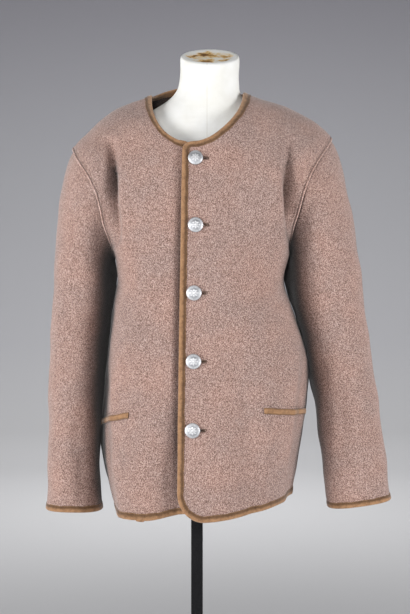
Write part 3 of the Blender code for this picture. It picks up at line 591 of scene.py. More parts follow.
def front_angles(side, rings, near, near_ring):
    """Angles along each ring from the centre edge: named distances first, then shares to the side."""
    sign = SIDE_SIGN[side]
    edge = front_edge_x(near_ring) if side == "left" else np.full(near_ring.shape, UNDERLAP_X)
    near_angle = angle_at_x(edge + sign * near, near_ring)
    side_angle = 0.0 if side == "left" else -math.pi
    seam = side_angle - sign * seam_angle(rings, side)[:, None]
    share = front_shares() ** FRONT_COLUMN_CROWDING
    start = near_angle[:, -1:]
    opening = armhole_angle(rings)[:, None] * share**ARMHOLE_SQUEEZE
    return np.concatenate([near_angle, start + (seam - start) * share - sign * opening], axis=1)


def front_grid(side):
    rings = panel_rings()
    near = near_distances()
    a = np.broadcast_to(near, (len(rings), len(near)))
    level = np.repeat(rings[:, None], len(near), axis=1) * FRONT_HEIGHT
    a, low = round_corner(a, level, CORNER_RADIUS if side == "left" else UNDERLAP_X)
    a, high = round_corner(a, FRONT_HEIGHT - low, NECK_CORNER_RADIUS)
    near_ring = 1 - high / FRONT_HEIGHT
    angle = front_angles(side, rings, a, near_ring)
    far = np.repeat(rings[:, None], angle.shape[1] - len(near), axis=1)
    ring = np.concatenate([near_ring, far], axis=1)
    if side == "right":
        x = torso_base(angle, ring)[..., 0]
        rise = smoothstep((x - UNDERLAP_RISE_FROM_X) / (UNDERLAP_RISE_TO_X - UNDERLAP_RISE_FROM_X))
        fade = np.clip(1 - ring * FRONT_HEIGHT / HEM_RISE_FADE, 0, 1)
        ring = ring + rise * fade * UNDERLAP_HEM_RISE / FRONT_HEIGHT
    return angle, ring


def back_grid():
    rings = panel_rings()
    start = seam_angle(rings, "left")[:, None]
    end = math.pi - seam_angle(rings, "right")[:, None]
    seam = np.linspace(0, SEAM_SHARE_BACK, SEAM_STEPS + 1)
    main = np.linspace(SEAM_SHARE_BACK, 1 - SEAM_SHARE_BACK, BACK_COLUMNS + 1)[1:-1]
    share = np.concatenate([seam, main, 1 - seam[::-1]])
    opening = (1 - share) ** ARMHOLE_SQUEEZE - share**ARMHOLE_SQUEEZE
    angle = start + (end - start) * share + armhole_angle(rings)[:, None] * opening
    return angle, np.repeat(rings[:, None], len(share), axis=1)


def panel_points(angle, ring, surface, sides):
    """The panel's outer points and normals, with the raised armhole seam."""
    points = surface(angle, ring)
    normals = normals_of(surface, angle, ring)
    for side in sides:
        points = points + normals * seam_relief(points, side)[..., None]
    return points, normals


# ---- meshes

def add_mesh(name, points, faces, materials, sharp=50):
    mesh = bpy.data.meshes.new(name)
    mesh.from_pydata(np.asarray(points, float).tolist(), [], [tuple(face) for face in faces])
    for material in materials:
        mesh.materials.append(material)
    mesh.shade_smooth()
    mesh.set_sharp_from_angle(angle=math.radians(sharp))
    mesh.validate()
    made = bpy.data.objects.new(name, mesh)
    bpy.context.scene.collection.objects.link(made)
    return made


def set_attribute(made, name, values):
    """A named value for each point, which the material reads."""
    stored = made.data.attributes.new(name, "FLOAT", "POINT")
    stored.data.foreach_set("value", np.asarray(values, np.float32))


def grid_faces(rows, columns, offset, closed_columns, closed_rows=False):
    """Quads between the points of a grid stored row by row."""
    index = offset + np.arange(rows * columns).reshape(rows, columns)
    if closed_columns:
        index = np.concatenate([index, index[:, :1]], axis=1)
    if closed_rows:
        index = np.concatenate([index, index[:1]], axis=0)
    quads = np.stack([index[:-1, :-1], index[:-1, 1:], index[1:, 1:], index[1:, :-1]], axis=-1)
    return quads.reshape(-1, 4)


def fan(loop, middle, flip=False):
    """Triangles between a closed loop of points and one in its middle."""
    return [(b, a, middle) if flip else (a, b, middle) for a, b in zip(loop, [*loop[1:], loop[0]])]


def shell(name, points, normals, material, closed=False, flip=False):
    """A cloth wall: outer points, inner points, and a rim between them."""
    rows, columns = points.shape[:2]
    inner = points - normals * CLOTH
    count = rows * columns
    outer_faces = grid_faces(rows, columns, 0, closed)
    inner_faces = grid_faces(rows, columns, count, closed)[:, ::-1]
    index = np.arange(count).reshape(rows, columns)
    if closed:
        loops = [np.append(index[0], index[0, 0])[::-1], np.append(index[-1], index[-1, 0])]
    else:
        loops = [np.concatenate([
            index[-1, :], index[-2::-1, -1], index[0, -2::-1], index[1:, 0],
        ])]
    rim = []
    for loop in loops:
        rim += [(b, a, a + count, b + count) for a, b in zip(loop, loop[1:])]
    faces = np.concatenate([outer_faces, inner_faces, np.array(rim)])
    if flip:
        faces = faces[:, ::-1]
    return add_mesh(name, np.concatenate([points.reshape(-1, 3), inner.reshape(-1, 3)]), faces, [material])


# ---- suede bindings

# Profile of a folded strip: distance from the edge and height above the cloth's face, in millimetres
STRIP_FACE = (
    (9.4, 0.1), (9.5, 0.75), (9.0, 0.95), (8.2, 0.72), (7.4, 1.05), (5.5, 1.45), (3.2, 1.55), (1.2, 1.5),
)
NOSE_STEPS = 6
NOSE_ROUND = 0.9
STITCH_AT, STITCH_HEIGHT = 8.2, 0.85
# The strip's width wavers by this many millimetres: share, length and start of each wave
STRIP_WAVER = 0.5
WAVERS = ((1.0, 37 * MM, 2), (0.6, 0.37 * 37 * MM, 0))
# Pale at the fold, partly wear and partly a painted highlight, and painted shade beside the stitches: how
# much, where and how wide in millimetres
WEAR_AND_HIGHLIGHT_MOST, WEAR_AND_HIGHLIGHT_WIDTH = 0.6, 2.8
PAINTED_SHADE_MOST, PAINTED_SHADE_AT, PAINTED_SHADE_WIDTH = 0.85, 6.6, 1.8


def at_distance(layers, distance):
    """Points or normals at a distance from the edge, between the layers."""
    place = np.clip(distance / (EDGE_LAYERS[1] - EDGE_LAYERS[0]), 0, len(EDGE_LAYERS) - 1.001)
    low = np.floor(place).astype(int)
    share = (place - low)[:, None]
    count = np.arange(layers.shape[1])
    return layers[low, count] * (1 - share) + layers[low + 1, count] * share


class Run:
    """A run of stations along an edge, with the panel's layers of points and normals beside it."""

    def __init__(self, points, normals, layer_paths, closed=False):
        self.places = np.array([[points[i, j] for i, j in path] for path in layer_paths])
        self.normals = np.array([[normals[i, j] for i, j in path] for path in layer_paths])
        self.closed = closed
        edge = self.places[0]
        ahead, behind = np.roll(edge, -1, axis=0), np.roll(edge, 1, axis=0)
        if not closed:
            ahead[-1], behind[0] = edge[-1], edge[0]
        self.length = np.cumsum(np.linalg.norm(edge - behind, axis=1))
        self.out = towards(unit(np.cross(ahead - behind, self.normals[0])), edge - self.places[2])

    def face_point(self, distance, height, under=False):
        """Points beside the edge on the outer or the under side of the cloth."""
        turns = 2 * math.pi * self.length
        waver = sum(share * np.sin(turns / length + start * under) for share, length, start in WAVERS)
        depth = (distance + STRIP_WAVER * waver * distance / 10) * MM
        place = at_distance(self.places, depth)
        normal = unit(at_distance(self.normals, depth))
        lift = -(CLOTH + height * MM) if under else height * MM
        return place + normal * lift

    def nose(self, radius):
        """Half-round points about the cloth's edge, from the outer to the under side."""
        middle = self.places[0] - self.normals[0] * CLOTH / 2
        turns = np.linspace(math.pi / 2, -math.pi / 2, NOSE_STEPS + 2)
        reach = CLOTH / 2 + radius * MM
        return [
            middle + reach * (self.normals[0] * math.sin(turn) + self.out * math.cos(turn) * NOSE_ROUND)
            for turn in turns
        ]


def strip(name, run, material):
    """A suede strip folded over the edge, as a closed section along the run."""
    loops = [run.face_point(distance, height) for distance, height in STRIP_FACE]
    loops += run.nose(STRIP_FACE[-1][1])
    loops += [run.face_point(distance, height, under=True) for distance, height in STRIP_FACE[::-1]]
    loops += run.nose(0.1)[::-1]
    section = np.stack(loops, axis=1)
    stations, ring = section.shape[:2]
    faces = grid_faces(stations, ring, 0, True, run.closed).tolist()
    if not run.closed:
        last = (stations - 1) * ring
        half = len(STRIP_FACE) * 2 + NOSE_STEPS + 2
        for start, turn in ((0, 1), (last, -1)):
            cap = []
            for k in range(half - 1):
                back = ring - 1 - k * (NOSE_STEPS + 1) // (half - 1)
                ahead = ring - 1 - (k + 1) * (NOSE_STEPS + 1) // (half - 1)
                cap.append((start + k, start + k + 1, start + ahead, start + back) if ahead != back
                           else (start + k, start + k + 1, start + back))
            faces += [face[::turn] for face in cap]
    made = add_mesh(name, section.reshape(-1, 3), faces, [material])
    distances = np.array([distance for distance, _ in STRIP_FACE] + [0.0] * (NOSE_STEPS + 2))
    distances = np.concatenate([distances, distances[::-1]])[:ring]
    # Painted shade beside the stitches, and a pale fold that is partly wear and partly a painted highlight
    painted_shade = PAINTED_SHADE_MOST * np.exp(-(((distances - PAINTED_SHADE_AT) / PAINTED_SHADE_WIDTH) ** 2))
    set_attribute(made, "painted_shade", np.tile(painted_shade, stations))
    set_attribute(made, "wear_and_highlight", np.tile(WEAR_AND_HIGHLIGHT_MOST * np.exp(-((distances / WEAR_AND_HIGHLIGHT_WIDTH) ** 2)), stations))
    return made


def front_layer_paths(rows, columns):
    """Index paths along neckline, front edge and hem, one for each layer from the edge inwards."""
    last_row, last_column = rows - 1, columns - 1
    path = [(last_row, j) for j in range(last_column, 0, -1)]
    path += [(i, 0) for i in range(last_row, 0, -1)]
    path += [(0, j) for j in range(last_column + 1)]
    return [
        [(min(max(i, k), last_row - k), max(j, k)) for i, j in path] for k in range(len(EDGE_LAYERS))
    ]


def row_layer_paths(rows, columns, top):
    return [
        [((rows - 1 - k) if top else k, j) for j in range(columns)] for k in range(len(EDGE_LAYERS))
    ]


# ---- stitches

STITCH_SECTIONS = (
    (0.0, 0.0, -0.35),
    (0.18, 0.75, 0.1),
    (0.5, 1.0, 0.45),
    (0.82, 0.75, 0.1),
    (1.0, 0.0, -0.35),
)
STITCH_SIDES = 6


def stitch_mesh(name, starts, ends, normals, radius, material):
    """Short threads from start to end, each thickest and highest at its middle."""
    turns = full_turn(STITCH_SIDES)[:, None]
    rings = len(STITCH_SECTIONS) - 2
    points = []
    for start, end, normal in zip(starts, ends, normals):
        across = unit(np.cross(unit(end - start), normal))
        ring = across * np.cos(turns) + normal * np.sin(turns)
        for share, thick, lift in STITCH_SECTIONS:
            middle = start + (end - start) * share + normal * radius * lift
            points += list(middle + radius * thick * ring) if thick else [middle]
    last = 1 + rings * STITCH_SIDES
    one = grid_faces(rings, STITCH_SIDES, 1, True)[:, [0, 3, 2, 1]].tolist()
    one += fan(range(1, 1 + STITCH_SIDES), 0) + fan(range(last - STITCH_SIDES, last), last, flip=True)
    faces = [[base + k for k in face] for base in range(0, len(points), last + 1) for face in one]
    return add_mesh(name, points, faces, [material], sharp=180)


def along_path(path, normals, pitch, length):
    """Starts, ends and normals of stitches laid at a pitch along a path of points."""
    step = np.linalg.norm(np.diff(path, axis=0), axis=1)
    run = np.concatenate([[0], np.cumsum(step)])
    at = np.arange(pitch / 2, run[-1] - pitch / 2, pitch)

    def pick(values, where):
        return np.stack([np.interp(where, run, values[:, k]) for k in range(3)], axis=1)

    return pick(path, at - length / 2), pick(path, at + length / 2), unit(pick(normals, at))


# ---- sleeves

def sleeve_head(side, around):
    """Start points, start directions and start normals of the sleeve's lines at the armhole seam."""
    seam = armhole_seam(side, around)[0]
    normal = armhole_seam(side, around, torso_base)[1]
    ahead, behind = (armhole_seam(side, around + step, torso_base)[0] for step in (1e-3, -1e-3))
    middle = armhole_seam(side, np.array([math.pi / 2, -math.pi / 2]))[0].mean(axis=0)
    across = towards(unit(np.cross(ahead - behind, normal)), middle - seam)
    below = ((1 - np.cos(around)) / 2) ** HEAD_TURN_LATE[side]
    turn = (HEAD_TURN_TOP[side] + (HEAD_TURN_UNDERARM - HEAD_TURN_TOP[side]) * below)[..., None]
    start = seam + across * GAP
    heading = across * np.cos(turn) + normal * np.sin(turn)
    facing = normal * np.cos(turn) - across * np.sin(turn)
    return start, heading, facing


def sleeve_tube(side, around, down):
    columns = SLEEVES[side]
    centre = np.stack([read(columns, name, down) * MM for name in "xyz"], axis=-1)
    outward, deep = read(columns, "outward", down) * MM, read(columns, "deep", down) * MM
    reach = oval(around, outward, outward, deep, deep, SLEEVE_SQUARE)
    axis = np.gradient(np.stack([columns[name] for name in "xyz"], axis=-1), axis=0).mean(axis=0)
    lean = math.atan2(axis[0], -axis[2])
    swell = read(SWELLS[side], "reach", down) * MM * np.exp(-(((around - SWELL_MIDDLE) / SWELL_SPREAD) ** 2))
    x = SIDE_SIGN[side] * (reach * np.cos(around) - swell)
    offset = np.stack([x * math.cos(lean), -reach * np.sin(around), x * math.sin(lean)], axis=-1)
    return centre + offset


def sleeve(side, around, along, start, heading):
    """Sleeve surface: along runs from the armhole seam (0) to the cuff (1), around starts at the shoulder."""
    down = np.clip((along - HEAD_PART) / (1 - HEAD_PART), 0, 1)
    tube = sleeve_tube(side, around, down)
    end = sleeve_tube(side, around, np.zeros_like(down))
    leaving = unit(sleeve_tube(side, around, np.full_like(down, LEAVING_STEP)) - end)
    span = np.linalg.norm(end - start, axis=-1, keepdims=True)
    pull = HEAD_START_PULL[side] * (1 - HEAD_CALM[side] * np.abs(np.sin(around)))[..., None]
    t = np.clip(along / HEAD_PART, 0, 1)[..., None]
    head = cubic(t, start, end, heading * span * pull, leaving * span * HEAD_END_PULL)
    return np.where(along[..., None] < HEAD_PART, head, tube)


def soften(points, rows):
    """Evens out a closed surface between its first line, which stays, and the given row."""
    weight = 0.5 * np.sin(math.pi * np.clip(np.arange(len(points)) / rows, 0, 1))[:, None, None]
    for _ in range(HEAD_SOFTENING):
        beside = (np.roll(points, 1, axis=1) + np.roll(points, -1, axis=1)) / 2
        longer = np.concatenate([points[:1], points, points[-1:]])
        above_below = (longer[:-2] + longer[2:]) / 2
        points = points + weight * ((beside + above_below) / 2 - points)
    return points


def tube_normals(points, side):
    turn = np.roll(points, -1, axis=1) - np.roll(points, 1, axis=1)
    return unit(np.cross(turn, np.gradient(points, axis=0))) * SIDE_SIGN[side]


def sleeve_points(side):
    around = full_turn(SLEEVE_AROUND)
    head = HEAD_PART * np.linspace(0, 1, HEAD_ROWS + 1) ** HEAD_CROWDING
    length = (SLEEVES[side]["z"][0] - SLEEVES[side]["z"][-1]) * MM
    hem = 1 - (1 - HEAD_PART) * EDGE_LAYERS[::-1] / length
    tube = np.linspace(HEAD_PART, hem[0], TUBE_ROWS + 1)[1:]
    along = np.concatenate([head, tube, hem[1:]])
    start, heading, facing = sleeve_head(side, around)
    around, along = np.meshgrid(around, along)
    points = soften(sleeve(side, around, along, start[None], heading[None]), HEAD_ROWS)
    normals = tube_normals(points, side)
    normals[0] = facing
    fade = smoothstep(along / HEAD_PART * HEAD_FADE)
    out = (fold_height(points, SLEEVE_FOLDS) + wave_height(points)) * fade
    out -= SLEEVE_TUCK * MM * np.exp(-along / SLEEVE_TUCK_WIDTH)
    points = points + normals * out[..., None]
    normals[1:] = tube_normals(points, side)[1:]
    return points, normals


# ---- materials

# Painted shade in the loden's colour, darker where little light gets in: reach in metres, open shares of full
# shade and of none, deepest shade
HOLLOW_REACH = 0.08
HOLLOW_SHUT, HOLLOW_OPEN = 0.22, 0.73
HOLLOW_SHADE = 0.07
FORM_SEAM_X = 18.9 * MM


class Nodes:
    """A material's node tree with short calls for nodes, values and links."""

    def __init__(self, name):
        self.material = bpy.data.materials.new(name)
        self.material.use_nodes = True
        self.tree = self.material.node_tree
        self.shader = self.tree.nodes["Principled BSDF"]

    def add(self, kind, inputs=(), **settings):
        made = self.tree.nodes.new(f"ShaderNode{kind}")
        for key, value in settings.items():
            setattr(made, key, value)
        for key, value in dict(inputs).items():
            self.put(made.inputs[key], value)
        return made

    def put(self, socket, value):
        if isinstance(value, bpy.types.NodeSocket):
            self.tree.links.new(value, socket)
        else:
            socket.default_value = value

    def set(self, **values):
        for key, value in values.items():
            self.put(self.shader.inputs[key.replace("_", " ")], value)

    def where(self, scale=(1, 1, 1), turn=(0, 0, 0)):
        coordinates = self.add("TexCoord").outputs["Object"]
        return self.add("Mapping", {"Vector": coordinates, "Scale": scale, "Rotation": turn}).outputs[0]

    def stored(self, name):
        return self.add("Attribute", attribute_name=name).outputs["Fac"]

    def coordinate(self, axis):
        return self.add("SeparateXYZ", {"Vector": self.where()}).outputs[axis]

    def noise(self, vector, scale, detail=2.0, roughness=0.5):
        inputs = {"Vector": vector, "Scale": scale, "Detail": detail, "Roughness": roughness}
        return self.add("TexNoise", inputs).outputs["Fac"]

    def ramp(self, factor, *stops):
        made = self.add("ValToRGB", {"Fac": factor})
        elements = made.color_ramp.elements
        while len(elements) < len(stops):
            elements.new(1.0)
        for element, (place, colour) in zip(elements, stops):
            element.position = place
            element.color = (*colour, 1)
        return made.outputs["Color"]

    def mix(self, factor, a, b, blend="MIX"):
        made = self.add("Mix", {"Factor": factor}, data_type="RGBA", blend_type=blend)
        for key, value in (("A", a), ("B", b)):
            self.put(made.inputs[key], (*value, 1) if isinstance(value, tuple) else value)
        return made.outputs["Result"]

    def span(self, value, low, high, to_low=0.0, to_high=1.0):
        inputs = {"Value": value, "From Min": low, "From Max": high, "To Min": to_low, "To Max": to_high}
        return self.add("MapRange", inputs).outputs["Result"]

    def math(self, operation, a, b):
        made = self.add("Math", operation=operation)
        self.put(made.inputs[0], a)
        self.put(made.inputs[1], b)
        return made.outputs[0]

    def bump(self, height, strength, distance):
        inputs = {"Height": height, "Strength": strength, "Distance": distance}
        self.put(self.shader.inputs["Normal"], self.add("Bump", inputs).outputs["Normal"])


def loden_material(name, paler=1.0):
    """Felted wool of mixed fibres: dark, rosy brown and pale flecks, with painted shade darkening the colour
    in hollows; a paler copy is a painted highlight.
    """
    n = Nodes(name)
    place = n.where(scale=(1, 1, 0.7), turn=(0, 0.35, 0))
    fine = n.noise(place, 1150, 2.0, 0.6)
    fleck = n.noise(n.where(scale=(1, 1, 0.6), turn=(0, -0.3, 0.4)), 700, 2.0, 0.55)
    both = n.math("ADD", n.math("MULTIPLY", fine, 0.5), n.math("MULTIPLY", fleck, 0.5))
    base = n.ramp(
        both,
        (0.36, (0.080, 0.045, 0.036)),
        (0.45, (0.218, 0.134, 0.110)),
        (0.52, (0.368, 0.240, 0.203)),
        (0.60, (0.585, 0.442, 0.390)),
    )
    patch = n.noise(n.where(), 14, 3.0)
    tint = n.ramp(patch, (0.35, (0.93, 0.95, 0.97)), (0.65, (1.05, 1.0, 0.98)))
    tint = n.mix(1.0, tint, (paler, paler, paler), "MULTIPLY")
    # Painted shade: ambient occlusion darkens the base colour in folds, gaps and hollows
    open_share = n.add("AmbientOcclusion", {"Distance": HOLLOW_REACH}, samples=6).outputs["AO"]
    shade = n.span(open_share, HOLLOW_SHUT, HOLLOW_OPEN, HOLLOW_SHADE, 1.0)
    painted_hollow_shade = n.add("CombineColor", {"Red": shade, "Green": shade, "Blue": shade}).outputs[0]
    n.set(
        Base_Color=n.mix(1.0, n.mix(1.0, base, tint, "MULTIPLY"), painted_hollow_shade, "MULTIPLY"),
        Roughness=0.95,
        Sheen_Weight=0.25,
        Sheen_Roughness=0.55,
        Specular_IOR_Level=0.15,
    )
    n.bump(both, 0.55, 0.0012)
    return n.material


def suede_material(name, dark, light):
    n = Nodes(name)
    nap = n.noise(n.where(), 900, 2.0)
    cloud = n.noise(n.where(), 120, 3.0, 0.7)
    base = n.mix(0.40, n.ramp(cloud, (0.37, dark), (0.60, light)), n.ramp(nap, (0.4, dark), (0.6, light)))
    # Paler where the attribute says: partly wear and partly a painted highlight
    wear_and_highlight = n.stored("wear_and_highlight")
    worn = n.math("MULTIPLY", wear_and_highlight, n.span(n.noise(n.where(), 160, 3.0), 0.35, 0.65, 0.4, 1.0))
    # Painted shade beside the stitches and along the welts' edges
    painted_shade = n.stored("painted_shade")
    base = n.mix(worn, base, tuple(1.25 * c + 0.015 for c in light))
    n.set(
        Base_Color=n.mix(painted_shade, base, tuple(0.45 * c for c in dark)),
        Roughness=0.88,
        Sheen_Weight=0.3,
        Sheen_Roughness=0.5,
        Specular_IOR_Level=0.25,
    )
    n.bump(n.math("ADD", nap, n.math("MULTIPLY", cloud, 1.5)), 0.4, 0.0006)
    return n.material


def thread_material(name, colour):
    n = Nodes(name)
    strand = n.add("TexWave", {"Vector": n.where(turn=(0.6, 0.4, 0.8)), "Scale": 900.0, "Distortion": 1.0})
    dark = tuple(c * 0.6 for c in colour)
    n.set(Base_Color=n.ramp(strand.outputs["Fac"], (0.2, dark), (0.8, colour)), Roughness=0.7)
    return n.material


def button_material():
    """Antique silver: bright where raised and worn, dull and dark in the hollows."""
    n = Nodes("button_metal")
    hollow = n.stored("hollow")
    worn = n.noise(n.where(), 420, 3.0, 0.6)
    dirt = n.math("MULTIPLY", hollow, n.span(worn, 0.3, 0.7, 0.55, 0.85))
    n.set(
        Base_Color=n.mix(dirt, (0.75, 0.75, 0.76), (0.32, 0.33, 0.36)),
        Roughness=n.span(worn, 0.3, 0.7, 0.40, 0.58),
        Metallic=0.85,
    )
    n.bump(worn, 0.15, 0.0002)
    return n.material


def form_material():
    """Cream cotton jersey: fine knit, faint yellowing in patches."""
    n = Nodes("form_cotton")
    knit = n.add("TexWave", {"Vector": n.where(), "Scale": 420.0, "Distortion": 2.0, "Detail": 1.0})
    patch = n.noise(n.where(), 16, 4.0)
    cream = n.ramp(patch, (0.32, (0.78, 0.77, 0.72)), (0.6, (0.87, 0.87, 0.85)))
    beside = n.math("ABSOLUTE", n.math("SUBTRACT", n.coordinate("X"), FORM_SEAM_X), 0)
    seam = n.span(beside, 0.0004, 0.0012, 1.0, 0.0)
    n.set(
        Base_Color=n.mix(n.math("MULTIPLY", seam, 0.35), cream, (0.60, 0.57, 0.50)),
        Roughness=0.85,
        Specular_IOR_Level=0.2,
    )
    crease = n.noise(n.where(scale=(1, 1, 3.2), turn=(0, 0.75, 0)), 26, 1.0)
    grain = n.math("ADD", n.math("MULTIPLY", knit.outputs["Fac"], 0.5), n.noise(n.where(), 260, 3.0))
    n.bump(n.math("ADD", grain, n.math("MULTIPLY", crease, 6.0)), 0.25, 0.0006)
    return n.material


def form_top_material():
    """The neck's top: cream at the rim, with amber and brown stains in the middle."""
    n = Nodes("form_top")
    rim = n.stored("rim")
    stain = n.noise(n.where(), 34, 4.0, 0.65)
    colour = n.ramp(
        stain,
        (0.37, (0.20, 0.090, 0.018)),
        (0.44, (0.68, 0.37, 0.085)),
        (0.50, (0.92, 0.70, 0.38)),
        (0.57, (0.97, 0.93, 0.85)),
    )
    n.set(Base_Color=n.mix(rim, colour, (0.95, 0.94, 0.91)), Roughness=0.9)
    n.bump(stain, 0.6, 0.002)
    return n.material


def paint_material():
    n = Nodes("stand_paint")
    speck = n.noise(n.where(), 380, 3.0)
    n.set(
        Base_Color=n.ramp(speck, (0.35, (0.006, 0.006, 0.007)), (0.7, (0.014, 0.014, 0.015))),
        Roughness=n.span(speck, 0.3, 0.7, 0.55, 0.68),
        Specular_IOR_Level=0.08,
    )
    n.bump(speck, 0.1, 0.0003)
    return n.material


LODEN = loden_material("loden")
# A paler copy of the loden: a painted highlight on the armhole seam's raised edge
LODEN_PAINTED_HIGHLIGHT = loden_material("loden_painted_highlight", 1.5)
SUEDE = suede_material("suede", (0.125, 0.060, 0.027), (0.350, 0.192, 0.094))
BROWN_THREAD = thread_material("brown_thread", (0.13, 0.070, 0.038))
# Thick dark thread: stitches that also stand in as painted shade in the armhole's groove and above the
# pockets' mouths
DARK_THREAD_AND_SHADE = thread_material("dark_thread_and_shade", (0.075, 0.045, 0.035))
METAL = button_material()
COTTON = form_material()
FORM_TOP = form_top_material()
PAINT = paint_material()


# ---- jacket

def settle(piece, slot, *nodes):
    """The piece moves with the part and stands for the named solids, which it hides; slot is not used."""
    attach(piece, "root")
    if nodes:
        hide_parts(*nodes)
    return piece


def nearest(tree, places):
    """The points of the surface that are nearest to these places, and its normals there."""
    found = [tree.find_nearest(Vector(place)) for place in places]
    return np.array([f[0][:] for f in found]), np.array([f[1][:] for f in found])


def outer_tree(points, flip):
    """A search tree over a grid's outer face."""
    faces = grid_faces(*points.shape[:2], 0, False)
    return BVHTree.FromPolygons(points.reshape(-1, 3).tolist(), (faces[:, ::-1] if flip else faces).tolist())


THREAD_RADIUS = 0.32 * MM
STITCH_PITCH = 3.6 * MM
STITCH_LENGTH = 2.7 * MM


def sew(name, slot, thread, lines, radius=THREAD_RADIUS):
    """One piece of stitches along some lines of points and normals."""
    sets = [along_path(path, up, STITCH_PITCH, STITCH_LENGTH) for path, up in lines]
    stitches = [np.concatenate(group) for group in zip(*sets)]
    return settle(stitch_mesh(f"stitches_{name}", *stitches, radius, thread), slot)


panels = {}
runs = {}
for side, surface in (("left", lapped), ("right", lapped_over)):
    panels[side] = panel_points(*front_grid(side), surface, (side,))
panels["back"] = panel_points(*back_grid(), torso, ("left", "right"))

pieces = {}
for side in SIDE_SIGN:
    name = f"front_{side}"
    pieces[name] = shell(f"cloth_{name}", *panels[side], LODEN, flip=side == "right")
    settle(pieces[name], "loden", name)
    points, normals = panels[side]
    runs[name] = Run(points, normals, front_layer_paths(*points.shape[:2]))
points, normals = panels["back"]
pieces["back"] = settle(shell("cloth_back", points, normals, LODEN), "loden", "back")
runs["back_hem"] = Run(points, normals, row_layer_paths(*points.shape[:2], False))
runs["back_neck"] = Run(points, normals, row_layer_paths(*points.shape[:2], True))
for side in SIDE_SIGN:
    name = f"sleeve_{side}"
    points, normals = sleeve_points(side)
    pieces[name] = shell(f"cloth_{name}", points, normals, LODEN, closed=True, flip=side == "left")
    settle(pieces[name], "loden", name)
    runs[f"cuff_{side}"] = Run(points, normals, row_layer_paths(*points.shape[:2], True), closed=True)

STRIP_NODES = {
    "front_left": "binding_front_left",
    "front_right": "binding_front_right",
    "back_hem": "binding_back_hem",
    "back_neck": "binding_back_neck",
    "cuff_left": "cuff_binding_left",
    "cuff_right": "cuff_binding_right",
}
strips = {}
for name, run in runs.items():
    strips[name] = settle(strip(f"strip_{name}", run, SUEDE), "suede", STRIP_NODES[name])
    path = run.face_point(STITCH_AT, STITCH_HEIGHT)
    up = run.normals[0]
    if run.closed:
        path, up = np.concatenate([path, path[:1]]), np.concatenate([up, up[:1]])
    strips[f"{name}_threads"] = sew(name, "suede", BROWN_THREAD, [(path, up)])

trees = {side: outer_tree(panels[side][0], side == "right") for side in SIDE_SIGN}
trees["back"] = outer_tree(panels["back"][0], False)


# ---- armhole stitches

# Spans of the front and of the back round the armhole, in half turns from the shoulder tip
ARMHOLE_SPANS = ((0.06, 0.97), (1.03, 1.94))
STITCH_LIFT = 0.3


def armhole_lines(side, distance):
    """Points and normals on the body at a distance from the armhole: over the front, then over the back."""
    around = np.linspace(0, 2 * math.pi, 2 * SEAM_POINTS - 1)
    seam, normal = armhole_seam(side, around)
    across = towards(unit(np.cross(np.gradient(seam, axis=0), normal)), seam - seam.mean(axis=0))
    target = seam + across * distance * MM
    for (start, end), tree in zip(ARMHOLE_SPANS, (trees[side], trees["back"])):
        yield nearest(tree, target[(around > start * math.pi) & (around < end * math.pi)])


def armhole_ridge(side):
    """The turned edge of the seam: a low half-round welt right beside the armhole, thinning to its ends, in a
    paler loden that is a painted highlight.
    """
    points, faces = [], []
    turn = full_turn(ROLL_SIDES)
    for place, up in armhole_lines(side, ROLL_AT):
        across = unit(np.cross(np.gradient(place, axis=0), up))
        share = np.linspace(0, 1, len(place))
        full = ROLL_ENDS + (1 - ROLL_ENDS) * np.sin(math.pi * share) ** ROLL_FADE
        wide = ROLL_WIDTH * full[:, None, None] * np.cos(turn)[:, None]
        high = ROLL_HEIGHT * full[:, None, None] * np.sin(turn)[:, None]
        rings = place[:, None] + across[:, None] * wide + up[:, None] * high
        base, end = len(points), len(points) + rings.shape[0] * ROLL_SIDES
        faces += grid_faces(len(place), ROLL_SIDES, base, True).tolist()
        faces += [range(base, base + ROLL_SIDES)[::-1], range(end - ROLL_SIDES, end)]
        points += rings.reshape(-1, 3).tolist()
    return add_mesh(f"armhole_ridge_{side}", np.array(points), faces, [LODEN_PAINTED_HIGHLIGHT], sharp=180)


armholes = {}
for side in SIDE_SIGN:
    # The armhole's topstitching, thick and dark, is also painted shade along the groove
    lines = [(place + up * THREAD_RADIUS * STITCH_LIFT, up) for place, up in armhole_lines(side, GROOVE_AT)]
    threads = sew(f"armhole_{side}", "loden", DARK_THREAD_AND_SHADE, lines, ARMHOLE_THREAD_RADIUS)
    armholes[side] = [threads, settle(armhole_ridge(side), "loden")]


# ---- pocket welts

# Profile across the strip: share of its height from the lower edge, and height above the cloth in millimetres
WELT_PROFILE = (
    (0.00, 0.4), (0.00, 1.6), (0.05, 2.1), (0.14, 1.7), (0.24, 2.2), (0.50, 2.6), (0.78, 2.4), (0.86, 1.9),
    (0.94, 2.2), (1.00, 1.8), (1.00, 0.4),
)
# Painted shade on each of these lines: full at the edges and some along the stitches; the rest is paler,
# partly wear and partly a painted highlight
WELT_PAINTED_SHADE = np.array([1.0, 0.8, 0.2, 0.3, 0.0, 0.0, 0.0, 0.35, 0.2, 0.8, 1.0])
WELT_PAINTED_SHADE_MOST, WELT_WEAR_AND_HIGHLIGHT_MOST = 0.75, 0.5
WELT_COLUMNS = 72
WELT_REACH = math.radians(80)
# The welt's slight waves: size, number and start
WELT_SAGS = ((0.35 * MM, 9, 1), (0.25 * MM, 23, 0))
WELT_STITCH_SHARES = (0.14, 0.86)
WELT_STITCH_HEIGHT = 2.0 * MM
MOUTH_STITCH_RISE = 4.6 * MM


